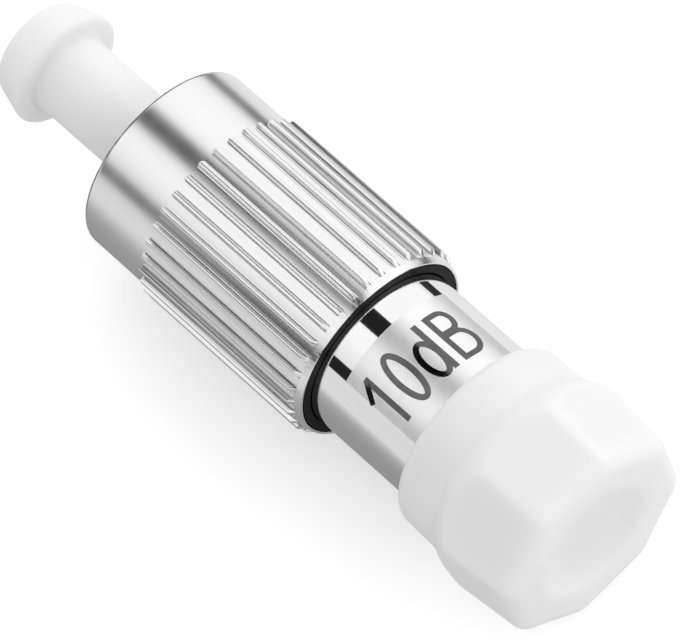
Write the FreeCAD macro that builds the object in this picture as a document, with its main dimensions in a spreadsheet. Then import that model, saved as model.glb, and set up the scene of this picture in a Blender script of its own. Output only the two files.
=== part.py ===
import FreeCAD, Part

import math
import os
import Sketcher

# Fixed fibre attenuator, plug on one end and receptacle on the other, with both dust caps on.
# The optical axis runs along X, from the plug end to the receptacle end. The attenuator lies
# on its side: a flat of the large cap and the knurl of the nut rest on the surface at Z = 0.
# The origin is under the middle of the object.

doc = FreeCAD.newDocument("FibreAttenuator")

# Driving sizes in millimetres and degrees
SIZES = [
    # dust cap over the plug's ferrule: a tube with a mushroom head
    ("plug_cap_head_thickness", 2.1),
    ("plug_cap_head_diameter", 6.0),
    ("plug_cap_head_taper", 0.6),
    ("plug_cap_head_round", 0.6),
    ("plug_cap_rim_round", 0.25),
    ("plug_cap_neck_diameter", 3.95),
    ("plug_cap_neck_taper", 0.06),
    ("plug_cap_reach", 6.4),
    ("plug_cap_insertion", 2.5),
    ("plug_cap_tip_room", 0.9),
    ("plug_cap_root_round", 0.25),
    # coupling nut
    ("nut_length", 14.0),
    ("nut_turn", 5.5),
    ("collar_diameter", 9.5),
    ("collar_length", 3.9),
    ("collar_edge", 0.25),
    ("knurl_diameter", 10.0),
    ("knurl_ribs", 35),
    ("knurl_depth", 0.24),
    ("knurl_root_share", 0.62),
    ("knurl_crest_width", 0.18),
    ("knurl_flank_share", 1.6),
    ("knurl_front_edge", 0.05),
    ("knurl_rear_edge", 0.55),
    ("nut_rim_edge", 0.3),
    ("thread_minor_diameter", 7.19),
    ("thread_major_diameter", 8.0),
    ("nut_thread_length", 5.0),
    ("nut_thread_edge", 0.4),
    ("nut_lip_setback", 7.0),
    ("nut_lip_thickness", 1.2),
    ("nut_play", 1.2),
    # black ring in the rear mouth of the nut
    ("slip_ring_seat_share", 0.68),
    ("slip_ring_length", 1.4),
    ("slip_ring_recess", 0.02),
    ("slip_ring_edge", 0.05),
    # plug frame: key barrel, flange and neck
    ("barrel_bore_diameter", 4.9),
    ("barrel_length", 4.5),
    ("barrel_floor_depth", 3.5),
    ("barrel_floor_thickness", 0.7),
    ("barrel_edge", 0.15),
    ("flange_diameter", 6.9),
    ("flange_thickness", 1.0),
    ("frame_neck_diameter", 6.0),
    ("frame_seat_depth", 4.2),
    ("key_width", 2.0),
    ("key_setback", 0.5),
    # ferrule with the doped fibre in it, its holder, spring and stop
    ("ferrule_diameter", 2.5),
    ("ferrule_length", 21.0),
    ("ferrule_reach", 7.5),
    ("ferrule_chamfer_length", 0.5),
    ("ferrule_face_diameter", 1.8),
    ("fibre_diameter", 0.125),
    ("holder_tube_diameter", 3.5),
    ("holder_tube_length", 2.0),
    ("holder_flange_thickness", 1.0),
    ("holder_notches", 4),
    ("holder_notch_width", 0.7),
    ("holder_notch_depth", 0.45),
    ("spring_mean_diameter", 4.15),
    ("spring_wire_diameter", 0.35),
    ("spring_turns", 6.0),
    ("stop_thickness", 0.9),
    # split alignment sleeve and its holder
    ("sleeve_length", 11.4),
    ("sleeve_wall", 0.33),
    ("sleeve_slot_width", 0.4),
    ("sleeve_end_room", 0.1),
    ("sleeve_holder_diameter", 4.7),
    ("sleeve_holder_flange", 1.0),
    ("sleeve_holder_lip", 0.7),
    ("sleeve_holder_mouth", 0.3),
    # receptacle body
    ("body_diameter", 8.1),
    ("body_front_edge", 0.2),
    ("relief_width", 0.6),
    ("relief_depth", 0.45),
    ("body_thread_length", 5.7),
    ("body_thread_edge", 0.4),
    ("tube_bore_depth", 5.4),
    ("keyway_length", 5.0),
    # silver value label on the body
    ("label_setback", 1.45),
    ("label_length", 4.6),
    ("label_arc", 90.0),
    ("label_turn", 5.0),
    ("label_thickness", 0.05),
    # push-on dust cap over the receptacle
    ("cap_length", 7.65),
    ("cap_end_wall", 1.0),
    ("cap_end_room", 0.2),
    ("cap_skirt_length", 2.55),
    ("cap_skirt_diameter", 9.5),
    ("cap_skirt_flare", 0.1),
    ("cap_mouth_round", 0.5),
    ("cap_mouth_bore_length", 0.9),
    ("cap_shoulder_length", 1.3),
    ("cap_flats", 10.42),
    ("cap_flat_taper", 4.6),
    ("cap_corner_round", 0.9),
    ("cap_end_round", 0.75),
    ("cap_recess_diameter", 5.6),
    ("cap_recess_depth", 0.45),
    ("cap_recess_wall", 0.5),
    # clearances between pieces that move on each other or push on
    ("running_clearance", 0.05),
    ("lip_clearance", 0.08),
    ("bore_clearance", 0.07),
    ("ferrule_clearance", 0.02),
    ("guide_clearance", 0.05),
    ("push_clearance", 0.02),
    ("mouth_clearance", 0.1),
    ("key_clearance", 0.05),
]

sheet = doc.addObject("Spreadsheet::Sheet", "Sizes")
for row, (alias, value) in enumerate(SIZES, start=1):
    sheet.set("A%d" % row, alias)
    sheet.set("B%d" % row, str(value))
    sheet.setAlias("B%d" % row, alias)

# Places along the axis, counted from the outer face of the plug cap, and the
# radii that neighbouring pieces share. All follow from the sizes.
PLACES = [
    ("head_end", "Sizes.plug_cap_head_thickness"),
    ("nut_front", "head_end + Sizes.plug_cap_reach"),
    ("nut_rear", "nut_front + Sizes.nut_length"),
    ("knurl_front", "nut_front + Sizes.collar_length"),
    ("lip_front", "nut_rear - Sizes.nut_lip_setback"),
    ("lip_rear", "lip_front + Sizes.nut_lip_thickness"),
    ("flange_rear", "lip_front - Sizes.nut_play / 2"),
    ("flange_front", "flange_rear - Sizes.flange_thickness"),
    ("barrel_front", "flange_front - Sizes.barrel_length"),
    ("floor_front", "barrel_front + Sizes.barrel_floor_depth"),
    ("floor_rear", "floor_front + Sizes.barrel_floor_thickness"),
    ("body_front", "lip_rear + Sizes.nut_play / 2"),
    ("frame_rear", "body_front + Sizes.frame_seat_depth"),
    ("ferrule_tip", "flange_front - Sizes.ferrule_reach"),
    ("ferrule_rear", "ferrule_tip + Sizes.ferrule_length"),
    ("plug_cap_mouth", "nut_front + Sizes.plug_cap_insertion"),
    ("plug_cap_bore_end", "ferrule_tip - Sizes.plug_cap_tip_room"),
    ("holder_seat", "floor_rear + Sizes.holder_flange_thickness"),
    ("holder_rear", "holder_seat + Sizes.holder_tube_length"),
    ("stop_front", "frame_rear - Sizes.stop_thickness"),
    ("sleeve_front", "ferrule_rear - Sizes.sleeve_length / 2"),
    ("sleeve_rear", "ferrule_rear + Sizes.sleeve_length / 2"),
    ("holder_flange_rear", "frame_rear + Sizes.sleeve_holder_flange"),
    ("holder_lip_front", "sleeve_rear + Sizes.sleeve_end_room"),
    ("sleeve_holder_rear", "holder_lip_front + Sizes.sleeve_holder_lip"),
    ("tube_end", "ferrule_rear + Sizes.ferrule_reach"),
    ("tube_bore_front", "tube_end - Sizes.tube_bore_depth"),
    ("thread_front", "tube_end - Sizes.body_thread_length"),
    ("relief_front", "thread_front - Sizes.relief_width"),
    ("slip_ring_rear", "nut_rear - Sizes.slip_ring_recess"),
    ("slip_ring_front", "slip_ring_rear - Sizes.slip_ring_length"),
    ("ring_seat_front", "slip_ring_front - Sizes.running_clearance"),
    ("label_front", "nut_rear + Sizes.label_setback"),
    ("label_rear", "label_front + Sizes.label_length"),
    ("cap_floor", "tube_end + Sizes.cap_end_room"),
    ("cap_end", "cap_floor + Sizes.cap_end_wall"),
    ("cap_mouth", "cap_end - Sizes.cap_length"),
    ("cap_skirt_end", "cap_mouth + Sizes.cap_skirt_length"),
    ("cap_flats_start", "cap_skirt_end + Sizes.cap_shoulder_length"),
    ("body_radius", "Sizes.body_diameter / 2"),
    ("neck_radius", "Sizes.frame_neck_diameter / 2"),
    ("barrel_radius", "neck_radius - Sizes.running_clearance"),
    ("cavity_radius", "Sizes.barrel_bore_diameter / 2"),
    ("ferrule_radius", "Sizes.ferrule_diameter / 2"),
    ("fibre_radius", "Sizes.fibre_diameter / 2"),
    ("sleeve_bore_radius", "ferrule_radius + Sizes.ferrule_clearance"),
    ("sleeve_radius", "sleeve_bore_radius + Sizes.sleeve_wall"),
    ("sleeve_room_radius", "sleeve_radius + Sizes.running_clearance"),
    ("guide_radius", "ferrule_radius + Sizes.guide_clearance"),
    ("thread_radius", "Sizes.thread_major_diameter / 2"),
    ("thread_bore_radius", "Sizes.thread_minor_diameter / 2"),
    ("knurl_radius", "Sizes.knurl_diameter / 2"),
    ("knurl_root_radius", "knurl_radius - Sizes.knurl_depth"),
    ("collar_radius", "Sizes.collar_diameter / 2"),
    ("ring_bore_radius", "body_radius + Sizes.running_clearance"),
    ("ring_room", "knurl_root_radius - ring_bore_radius"),
    ("ring_seat_radius", "ring_bore_radius + ring_room * Sizes.slip_ring_seat_share"),
    ("ring_radius", "ring_seat_radius - Sizes.running_clearance"),
    ("ring_edge", "min(Sizes.slip_ring_edge; (ring_radius - ring_bore_radius) / 3)"),
    ("label_radius", "body_radius + Sizes.label_thickness"),
    ("flat_slope", "tan(Sizes.cap_flat_taper * 1 deg)"),
    ("flats_radius", "Sizes.cap_flats / 2"),
    ("skirt_radius", "Sizes.cap_skirt_diameter / 2"),
    ("skirt_end_radius", "skirt_radius + Sizes.cap_skirt_flare"),
    ("shoulder_radius", "(flats_radius - Sizes.cap_shoulder_length * flat_slope) / cos(22.5 deg)"),
    ("shoulder_slope", "(shoulder_radius - skirt_end_radius) / Sizes.cap_shoulder_length"),
    ("flat_start", "(flats_radius - skirt_end_radius) / (shoulder_slope + flat_slope)"),
    ("axis_height", "flats_radius - flat_start * flat_slope"),
]

places = doc.addObject("Spreadsheet::Sheet", "Places")
for row, (alias, formula) in enumerate(PLACES, start=1):
    places.set("A%d" % row, alias)
    places.set("B%d" % row, "=" + formula)
    places.setAlias("B%d" % row, alias)
doc.recompute()

# one spare cell, which works out a formula's present value and is removed at the end
probe = doc.addObject("Spreadsheet::Sheet", "Probe")


def size(alias):
    return float(sheet.get(alias))


def place(alias):
    return float(places.get(alias))


# Helpers for the bodies, sketches and revolved forms
parts = {}


def new_body(name, turn=None):
    """A body whose own X axis is the optical axis, counted from the plug cap's outer face."""
    body = doc.addObject("PartDesign::Body", name)
    body.Label = name
    # a turned body starts at one degree, because a turn of nought has no axis to keep
    first_angle = 0.0 if turn is None else 1.0
    about_axis = FreeCAD.Rotation(FreeCAD.Vector(1, 0, 0), first_angle)
    body.Placement = FreeCAD.Placement(FreeCAD.Vector(0, 0, 0), about_axis)
    body.setExpression("Placement.Base.x", "-Places.cap_end / 2")
    body.setExpression("Placement.Base.z", "Places.axis_height")
    if turn is not None:
        body.setExpression("Placement.Rotation.Angle", turn)
    parts[name] = body
    return body


def origin_feature(body, role):
    for feature in body.Origin.OriginFeatures:
        if feature.Role == role:
            return feature
    raise RuntimeError("no origin feature " + role)


def new_sketch(body, name, plane="XY_Plane", offset=None):
    sketch = body.newObject("Sketcher::SketchObject", name)
    sketch.AttachmentSupport = [(origin_feature(body, plane), "")]
    sketch.MapMode = "FlatFace"
    if offset is not None:
        sketch.setExpression("AttachmentOffset.Base.z", offset)
    return sketch


def numeric(expression):
    """The present value of a sum of sheet cells, to draw a sketch near its solved shape."""
    probe.set("A1", "=" + expression)
    probe.recompute()
    return float(probe.get("A1"))


def bind(sketch, constraint, expression):
    index = sketch.addConstraint(constraint)
    sketch.setExpression("Constraints[%d]" % index, expression)
    return index


def profile(body, name, corners, plane="XY_Plane"):
    """A closed outline of straight lines. Each corner is (place along the axis, radius)."""
    sketch = new_sketch(body, name, plane)
    points = [FreeCAD.Vector(numeric(x), numeric(r), 0) for x, r in corners]
    count = len(points)
    for index in range(count):
        line = Part.LineSegment(points[index], points[(index + 1) % count])
        sketch.addGeometry(line, False)
    for index in range(count):
        after = (index + 1) % count
        sketch.addConstraint(Sketcher.Constraint("Coincident", index, 2, after, 1))
    for index, (x, r) in enumerate(corners):
        if x == "0":
            sketch.addConstraint(Sketcher.Constraint("PointOnObject", index, 1, -2))
        else:
            distance = Sketcher.Constraint("DistanceX", -1, 1, index, 1, points[index].x)
            bind(sketch, distance, x)
        if r == "0":
            sketch.addConstraint(Sketcher.Constraint("PointOnObject", index, 1, -1))
        else:
            distance = Sketcher.Constraint("DistanceY", -1, 1, index, 1, points[index].y)
            bind(sketch, distance, r)
    return sketch


def turned(body, name, sketch, kind="PartDesign::Revolution", angle=360.0):
    """Turn an outline about the optical axis, to add or to cut."""
    feature = body.newObject(kind, name)
    feature.Profile = sketch
    feature.ReferenceAxis = (sketch, ["H_Axis"])
    feature.Angle = angle
    sketch.Visibility = False
    doc.recompute()
    return feature


def rim_edges(feature, x, radius):
    """Names of the round edges of a feature at one place and radius."""
    names = []
    for index, edge in enumerate(feature.Shape.Edges, start=1):
        box = edge.BoundBox
        if box.XLength > 0.01 or abs(box.XMin - x) > 0.01:
            continue
        reach = max(math.hypot(p.y, p.z) for p in edge.discretize(5))
        if abs(reach - radius) < 0.01:
            names.append("Edge%d" % index)
    return names


def rounded(body, name, base, edges, radius):
    """A fillet on named edges, its radius bound to a formula."""
    feature = body.newObject("PartDesign::Fillet", name)
    feature.Base = (base, edges)
    feature.Radius = numeric(radius)
    feature.setExpression("Radius", radius)
    doc.recompute()
    return feature


def cuts(before, after):
    """Stop when a cut left the solid as it was."""
    if after.Shape.Volume > before.Shape.Volume - 1e-6:
        raise RuntimeError(after.Name + " cuts nothing")


# Dust cap over the plug: head, neck and blind bore
body = new_body("plug_cap")
head_radius = "Sizes.plug_cap_head_diameter / 2"
face_radius = "Sizes.plug_cap_head_diameter / 2 - Sizes.plug_cap_head_taper"
neck_radius = "Sizes.plug_cap_neck_diameter / 2"
mouth_radius = "Sizes.plug_cap_neck_diameter / 2 - Sizes.plug_cap_neck_taper"
outline = profile(body, "PlugCapOutline", [
    ("0", "0"),
    ("0", face_radius),
    ("Places.head_end", head_radius),
    ("Places.head_end", neck_radius),
    ("Places.plug_cap_mouth", mouth_radius),
    ("Places.plug_cap_mouth", "Places.sleeve_bore_radius"),
    ("Places.plug_cap_bore_end", "Places.sleeve_bore_radius"),
    ("Places.plug_cap_bore_end", "0"),
])
cap_turned = turned(body, "PlugCapTurned", outline)
face_edges = rim_edges(cap_turned, 0.0, numeric(face_radius))
head = rounded(body, "HeadRound", cap_turned, face_edges, "Sizes.plug_cap_head_round")
head_edges = rim_edges(head, place("head_end"), numeric(head_radius))
head = rounded(body, "RimRound", head, head_edges, "Sizes.plug_cap_rim_round")
root_edges = rim_edges(head, place("head_end"), numeric(neck_radius))
rounded(body, "NeckRootRound", head, root_edges, "Sizes.plug_cap_root_round")

# Coupling nut: turned blank, then the straight knurl cut groove by groove
body = new_body("coupling_nut", "Sizes.nut_turn")
relief_radius = "Places.thread_radius + Sizes.running_clearance"
lip_radius = "Places.neck_radius + Sizes.lip_clearance"
running_radius = "Places.body_radius + Sizes.bore_clearance"
rim_radius = "(Places.ring_seat_radius + Places.knurl_root_radius) / 2"
relief_start = "Places.nut_front + Sizes.nut_thread_length"
outline = profile(body, "NutOutline", [
    ("Places.nut_front", "Places.thread_bore_radius + Sizes.nut_thread_edge"),
    ("Places.nut_front", "Places.collar_radius - Sizes.collar_edge"),
    ("Places.nut_front + Sizes.collar_edge", "Places.collar_radius"),
    ("Places.knurl_front", "Places.collar_radius"),
    ("Places.knurl_front", "Places.knurl_radius - Sizes.knurl_front_edge"),
    ("Places.knurl_front + Sizes.knurl_front_edge", "Places.knurl_radius"),
    ("Places.nut_rear - Sizes.knurl_rear_edge", "Places.knurl_radius"),
    ("Places.nut_rear - Sizes.nut_rim_edge", "Places.knurl_root_radius"),
    ("Places.nut_rear", rim_radius),
    ("Places.nut_rear", "Places.ring_seat_radius"),
    ("Places.ring_seat_front", "Places.ring_seat_radius"),
    ("Places.ring_seat_front", running_radius),
    ("Places.lip_rear", running_radius),
    ("Places.lip_rear", lip_radius),
    ("Places.lip_front", lip_radius),
    ("Places.lip_front", relief_radius),
    (relief_start, relief_radius),
    (relief_start, "Places.thread_bore_radius"),
    ("Places.nut_front + Sizes.nut_thread_edge", "Places.thread_bore_radius"),
])
blank = turned(body, "NutTurned", outline)


def flank(foot, crest, radius, side):
    """One flank of a groove: an arc that leans over the groove, so that the rib is round."""
    chord = crest - foot
    sagitta = radius - math.sqrt(radius ** 2 - (chord.Length / 2) ** 2)
    over_groove = FreeCAD.Vector(-side * chord.y, side * chord.x, 0).normalize()
    middle = (foot + crest) * 0.5 + over_groove * sagitta
    return Part.Arc(foot, middle, crest)


def knurl_groove(body):
    """The flat valley between two narrow ribs, drawn across the axis at the top of the nut."""
    pitch = "(pi * Sizes.knurl_diameter / Sizes.knurl_ribs)"
    half_root = pitch + " * Sizes.knurl_root_share / 2"
    half_crest = pitch + " / 2 - Sizes.knurl_crest_width / 2"
    crest_height = "sqrt(pow(Places.knurl_radius; 2) - pow(" + half_crest + "; 2))"
    flank_radius = "Sizes.knurl_depth * Sizes.knurl_flank_share"
    sketch = new_sketch(body, "KnurlGroove", "YZ_Plane", "Places.knurl_front")
    root_x = numeric(half_root)
    crest_x = numeric(half_crest)
    low = place("knurl_root_radius")
    high = numeric(crest_height)
    top = place("knurl_radius") + size("knurl_depth")
    foot = {side: FreeCAD.Vector(side * root_x, low, 0) for side in (-1, 1)}
    crest = {side: FreeCAD.Vector(side * crest_x, high, 0) for side in (-1, 1)}
    above = {side: FreeCAD.Vector(side * crest_x, top, 0) for side in (-1, 1)}
    lines = [(foot[-1], foot[1]), (crest[1], above[1]), (above[1], above[-1]), (above[-1], crest[-1])]
    for start, end in lines:
        sketch.addGeometry(Part.LineSegment(start, end), False)
    root_line, right_line, top_line, left_line, right_arc, left_arc = range(6)
    for side in (1, -1):
        sketch.addGeometry(flank(foot[side], crest[side], numeric(flank_radius), side), False)

    def low_and_high_ends(arc):
        starts_low = abs(sketch.getPoint(arc, 1).y - low) < 1e-6
        return (1, 2) if starts_low else (2, 1)

    link = Sketcher.Constraint
    right_low, right_high = low_and_high_ends(right_arc)
    left_low, left_high = low_and_high_ends(left_arc)
    sketch.addConstraint(link("Coincident", root_line, 2, right_arc, right_low))
    sketch.addConstraint(link("Coincident", right_line, 1, right_arc, right_high))
    sketch.addConstraint(link("Coincident", root_line, 1, left_arc, left_low))
    sketch.addConstraint(link("Coincident", left_line, 2, left_arc, left_high))
    sketch.addConstraint(link("Coincident", right_line, 2, top_line, 1))
    sketch.addConstraint(link("Coincident", top_line, 2, left_line, 1))
    sketch.addConstraint(link("Symmetric", root_line, 1, root_line, 2, -2))
    sketch.addConstraint(link("Symmetric", right_line, 1, left_line, 2, -2))
    sketch.addConstraint(link("Vertical", right_line))
    sketch.addConstraint(link("Vertical", left_line))
    sketch.addConstraint(link("Horizontal", top_line))
    sketch.addConstraint(link("Equal", right_arc, left_arc))
    bind(sketch, link("DistanceY", -1, 1, root_line, 2, low), "Places.knurl_root_radius")
    bind(sketch, link("DistanceY", -1, 1, right_line, 1, high), crest_height)
    bind(sketch, link("DistanceY", -1, 1, right_line, 2, top), "Places.knurl_radius + Sizes.knurl_depth")
    bind(sketch, link("DistanceX", -1, 1, root_line, 2, root_x), half_root)
    bind(sketch, link("DistanceX", -1, 1, right_line, 1, crest_x), half_crest)
    bind(sketch, link("Radius", right_arc, numeric(flank_radius)), flank_radius)
    return sketch


groove_sketch = knurl_groove(body)
groove = body.newObject("PartDesign::Pocket", "KnurlCut")
groove.Profile = groove_sketch
groove.Reversed = True
groove.Length = size("nut_length") - size("collar_length")
groove.setExpression("Length", "Sizes.nut_length - Sizes.collar_length + Sizes.knurl_depth")
groove_sketch.Visibility = False
doc.recompute()
cuts(blank, groove)
knurl = body.newObject("PartDesign::PolarPattern", "Knurl")
knurl.Originals = [groove]
knurl.Axis = (origin_feature(body, "X_Axis"), [""])
knurl.Angle = 360.0
knurl.Occurrences = int(size("knurl_ribs"))
knurl.setExpression("Occurrences", "Sizes.knurl_ribs")
body.Tip = knurl
doc.recompute()
cuts(groove, knurl)

# Black ring between the nut and the body
body = new_body("slip_ring")
outline = profile(body, "SlipRingOutline", [
    ("Places.slip_ring_front", "Places.ring_bore_radius"),
    ("Places.slip_ring_front", "Places.ring_radius"),
    ("Places.slip_ring_rear", "Places.ring_radius"),
    ("Places.slip_ring_rear", "Places.ring_bore_radius"),
])
ring = turned(body, "SlipRingTurned", outline)
ring_edges = rim_edges(ring, place("slip_ring_rear"), place("ring_radius"))
rounded(body, "SlipRingRound", ring, ring_edges, "Places.ring_edge")

# Plug frame: barrel with its key, flange that the nut pulls on, neck in the body
body = new_body("plug_frame")
outline = profile(body, "FrameOutline", [
    ("Places.barrel_front", "Places.cavity_radius"),
    ("Places.barrel_front", "Places.barrel_radius - Sizes.barrel_edge"),
    ("Places.barrel_front + Sizes.barrel_edge", "Places.barrel_radius"),
    ("Places.flange_front", "Places.barrel_radius"),
    ("Places.flange_front", "Sizes.flange_diameter / 2"),
    ("Places.flange_rear", "Sizes.flange_diameter / 2"),
    ("Places.flange_rear", "Places.neck_radius"),
    ("Places.frame_rear", "Places.neck_radius"),
    ("Places.frame_rear", "Places.cavity_radius"),
    ("Places.floor_rear", "Places.cavity_radius"),
    ("Places.floor_rear", "Places.guide_radius"),
    ("Places.floor_front", "Places.guide_radius"),
    ("Places.floor_front", "Places.cavity_radius"),
])
frame = turned(body, "FrameTurned", outline)


def cross_rectangle(body, name, offset, half_width, low, high):
    """A rectangle across the axis, symmetric about the vertical, from one radius to another."""
    sketch = new_sketch(body, name, "YZ_Plane", offset)
    half = numeric(half_width)
    bottom = numeric(low)
    top = numeric(high)
    ring = [(-half, bottom), (half, bottom), (half, top), (-half, top)]
    for index in range(4):
        start = FreeCAD.Vector(ring[index][0], ring[index][1], 0)
        end = FreeCAD.Vector(ring[(index + 1) % 4][0], ring[(index + 1) % 4][1], 0)
        sketch.addGeometry(Part.LineSegment(start, end), False)
    for index in range(4):
        after = (index + 1) % 4
        sketch.addConstraint(Sketcher.Constraint("Coincident", index, 2, after, 1))
    sketch.addConstraint(Sketcher.Constraint("Horizontal", 2))
    sketch.addConstraint(Sketcher.Constraint("Vertical", 1))
    sketch.addConstraint(Sketcher.Constraint("Vertical", 3))
    sketch.addConstraint(Sketcher.Constraint("Symmetric", 0, 1, 0, 2, -2))
    bind(sketch, Sketcher.Constraint("DistanceX", -1, 1, 0, 2, half), half_width)
    bind(sketch, Sketcher.Constraint("DistanceY", -1, 1, 0, 2, bottom), low)
    bind(sketch, Sketcher.Constraint("DistanceY", -1, 1, 1, 2, top), high)
    return sketch


key_low = "(Places.cavity_radius + Places.barrel_radius) / 2"
key_start = "Places.barrel_front + Sizes.key_setback"
key_sketch = cross_rectangle(
    body, "KeySection", key_start, "Sizes.key_width / 2", key_low, "Sizes.flange_diameter / 2")
key = body.newObject("PartDesign::Pad", "Key")
key.Profile = key_sketch
key.Length = size("barrel_length") - size("key_setback")
key.setExpression("Length", "Sizes.barrel_length - Sizes.key_setback + Sizes.flange_thickness / 2")
key_sketch.Visibility = False
doc.recompute()

# Ferrule with a bevelled tip at each end, and the doped fibre bonded in it
body = new_body("ferrule")
face = "Sizes.ferrule_face_diameter / 2"
outline = profile(body, "FerruleOutline", [
    ("Places.ferrule_tip", "Places.fibre_radius"),
    ("Places.ferrule_tip", face),
    ("Places.ferrule_tip + Sizes.ferrule_chamfer_length", "Places.ferrule_radius"),
    ("Places.ferrule_rear - Sizes.ferrule_chamfer_length", "Places.ferrule_radius"),
    ("Places.ferrule_rear", face),
    ("Places.ferrule_rear", "Places.fibre_radius"),
])
turned(body, "FerruleTurned", outline)

body = new_body("doped_fibre")
outline = profile(body, "FibreOutline", [
    ("Places.ferrule_tip", "0"),
    ("Places.ferrule_tip", "Places.fibre_radius"),
    ("Places.ferrule_rear", "Places.fibre_radius"),
    ("Places.ferrule_rear", "0"),
])
turned(body, "FibreTurned", outline)

# Ferrule holder: flange with tuning notches and the tube pressed on the ferrule
body = new_body("ferrule_holder")
holder_radius = "Places.cavity_radius - Sizes.running_clearance"
outline = profile(body, "HolderOutline", [
    ("Places.floor_rear", "Places.ferrule_radius"),
    ("Places.floor_rear", holder_radius),
    ("Places.holder_seat", holder_radius),
    ("Places.holder_seat", "Sizes.holder_tube_diameter / 2"),
    ("Places.holder_rear", "Sizes.holder_tube_diameter / 2"),
    ("Places.holder_rear", "Places.ferrule_radius"),
])
holder = turned(body, "HolderTurned", outline)
notch_low = holder_radius + " - Sizes.holder_notch_depth"
notch_high = holder_radius + " + Sizes.holder_notch_depth"
notch_sketch = cross_rectangle(
    body, "NotchSection", "Places.floor_rear", "Sizes.holder_notch_width / 2", notch_low, notch_high)
notch = body.newObject("PartDesign::Pocket", "Notch")
notch.Profile = notch_sketch
notch.Reversed = True
notch.Length = size("holder_flange_thickness")
notch.setExpression("Length", "Sizes.holder_flange_thickness")
notch_sketch.Visibility = False
doc.recompute()
cuts(holder, notch)
notches = body.newObject("PartDesign::PolarPattern", "Notches")
notches.Originals = [notch]
notches.Axis = (origin_feature(body, "X_Axis"), [""])
notches.Angle = 360.0
notches.Occurrences = int(size("holder_notches"))
notches.setExpression("Occurrences", "Sizes.holder_notches")
body.Tip = notches
doc.recompute()
cuts(notch, notches)

# Ferrule spring: a round wire swept along a coil between the holder and the stop
ARCS_PER_TURN = 8


def coil_path(front, mean_radius, pitch, turns):
    """A coil of tangent arcs. Its corners climb a helix, and an arc rounds each of them,
    from the middle of one side to the middle of the next."""
    step = 2 * math.pi / ARCS_PER_TURN
    corner_radius = mean_radius / math.cos(step / 2)
    corners = []
    for index in range(int(round(turns * ARCS_PER_TURN)) + 2):
        turned_by = index - 0.5
        corners.append(FreeCAD.Vector(
            front + pitch * turned_by / ARCS_PER_TURN,
            corner_radius * math.sin(step * turned_by),
            -corner_radius * math.cos(step * turned_by)))
    middles = [(corners[index] + corners[index + 1]) * 0.5 for index in range(len(corners) - 1)]
    edges = []
    for index, corner in enumerate(corners[1:-1]):
        start, end = middles[index], middles[index + 1]
        half_side = (corner - start).Length
        half_bend = (corner - start).getAngle(end - corner) / 2
        inward = ((start + end) * 0.5 - corner).normalize()
        crown = corner + inward * half_side * (1 / math.sin(half_bend) - 1 / math.tan(half_bend))
        edges.append(Part.Arc(start, crown, end).toShape())
    return Part.Wire(edges), middles[0], corners[1] - corners[0]


wire_diameter = size("spring_wire_diameter")
spring_length = place("stop_front") - place("holder_seat") - wire_diameter
coil, coil_start, coil_heading = coil_path(
    place("holder_seat") + wire_diameter / 2, size("spring_mean_diameter") / 2,
    spring_length / size("spring_turns"), size("spring_turns"))
spring_path = doc.addObject("Part::Feature", "SpringPath")
spring_path.Shape = coil
spring_wire = doc.addObject("Part::Feature", "SpringWire")
spring_wire.Shape = Part.Wire([Part.Circle(coil_start, coil_heading, wire_diameter / 2).toShape()])
spring = doc.addObject("Part::Sweep", "ferrule_spring")
spring.Label = "ferrule_spring"
spring.Sections = [spring_wire]
spring.Spine = (spring_path, ["Edge%d" % (index + 1) for index in range(len(coil.Edges))])
spring.Solid = True
spring.Frenet = True
spring.setExpression("Placement.Base.x", "-Places.cap_end / 2")
spring.setExpression("Placement.Base.z", "Places.axis_height")
parts["ferrule_spring"] = spring
doc.recompute()

# Spring stop, a disc pressed in the rear of the plug frame
body = new_body("spring_stop")
outline = profile(body, "StopOutline", [
    ("Places.stop_front", "Places.guide_radius + Sizes.guide_clearance"),
    ("Places.stop_front", "Places.cavity_radius"),
    ("Places.frame_rear", "Places.cavity_radius"),
    ("Places.frame_rear", "Places.guide_radius + Sizes.guide_clearance"),
])
turned(body, "StopTurned", outline)

# Receptacle body: running shank, label zone, thread relief, threaded tube, keyway
body = new_body("receptacle_body")
tube_bore = "Places.neck_radius + Sizes.running_clearance"
thread_root = "Places.thread_radius - Sizes.relief_depth"
outline = profile(body, "BodyOutline", [
    ("Places.body_front", "Places.neck_radius"),
    ("Places.body_front", "Places.body_radius - Sizes.body_front_edge"),
    ("Places.body_front + Sizes.body_front_edge", "Places.body_radius"),
    ("Places.relief_front", "Places.body_radius"),
    ("Places.relief_front", thread_root),
    ("Places.thread_front", thread_root),
    ("Places.thread_front + Sizes.relief_depth", "Places.thread_radius"),
    ("Places.tube_end - Sizes.body_thread_edge", "Places.thread_radius"),
    ("Places.tube_end", "Places.thread_radius - Sizes.body_thread_edge"),
    ("Places.tube_end", tube_bore),
    ("Places.tube_bore_front", tube_bore),
    ("Places.tube_bore_front", "Sizes.sleeve_holder_diameter / 2"),
    ("Places.holder_flange_rear", "Sizes.sleeve_holder_diameter / 2"),
    ("Places.holder_flange_rear", "Places.neck_radius"),
])
shell = turned(body, "BodyTurned", outline)
slot_start = "Places.tube_end - Sizes.keyway_length"
slot_half = "Sizes.key_width / 2 + Sizes.key_clearance"
slot_low = "Sizes.sleeve_holder_diameter / 2"
slot_high = "Places.thread_radius + Sizes.relief_depth"
slot_sketch = cross_rectangle(body, "KeywaySection", slot_start, slot_half, slot_low, slot_high)
keyway = body.newObject("PartDesign::Pocket", "Keyway")
keyway.Profile = slot_sketch
keyway.Reversed = True
keyway.Length = size("keyway_length")
keyway.setExpression("Length", "Sizes.keyway_length + Sizes.cap_end_room")
slot_sketch.Visibility = False
doc.recompute()
cuts(shell, keyway)

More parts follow.
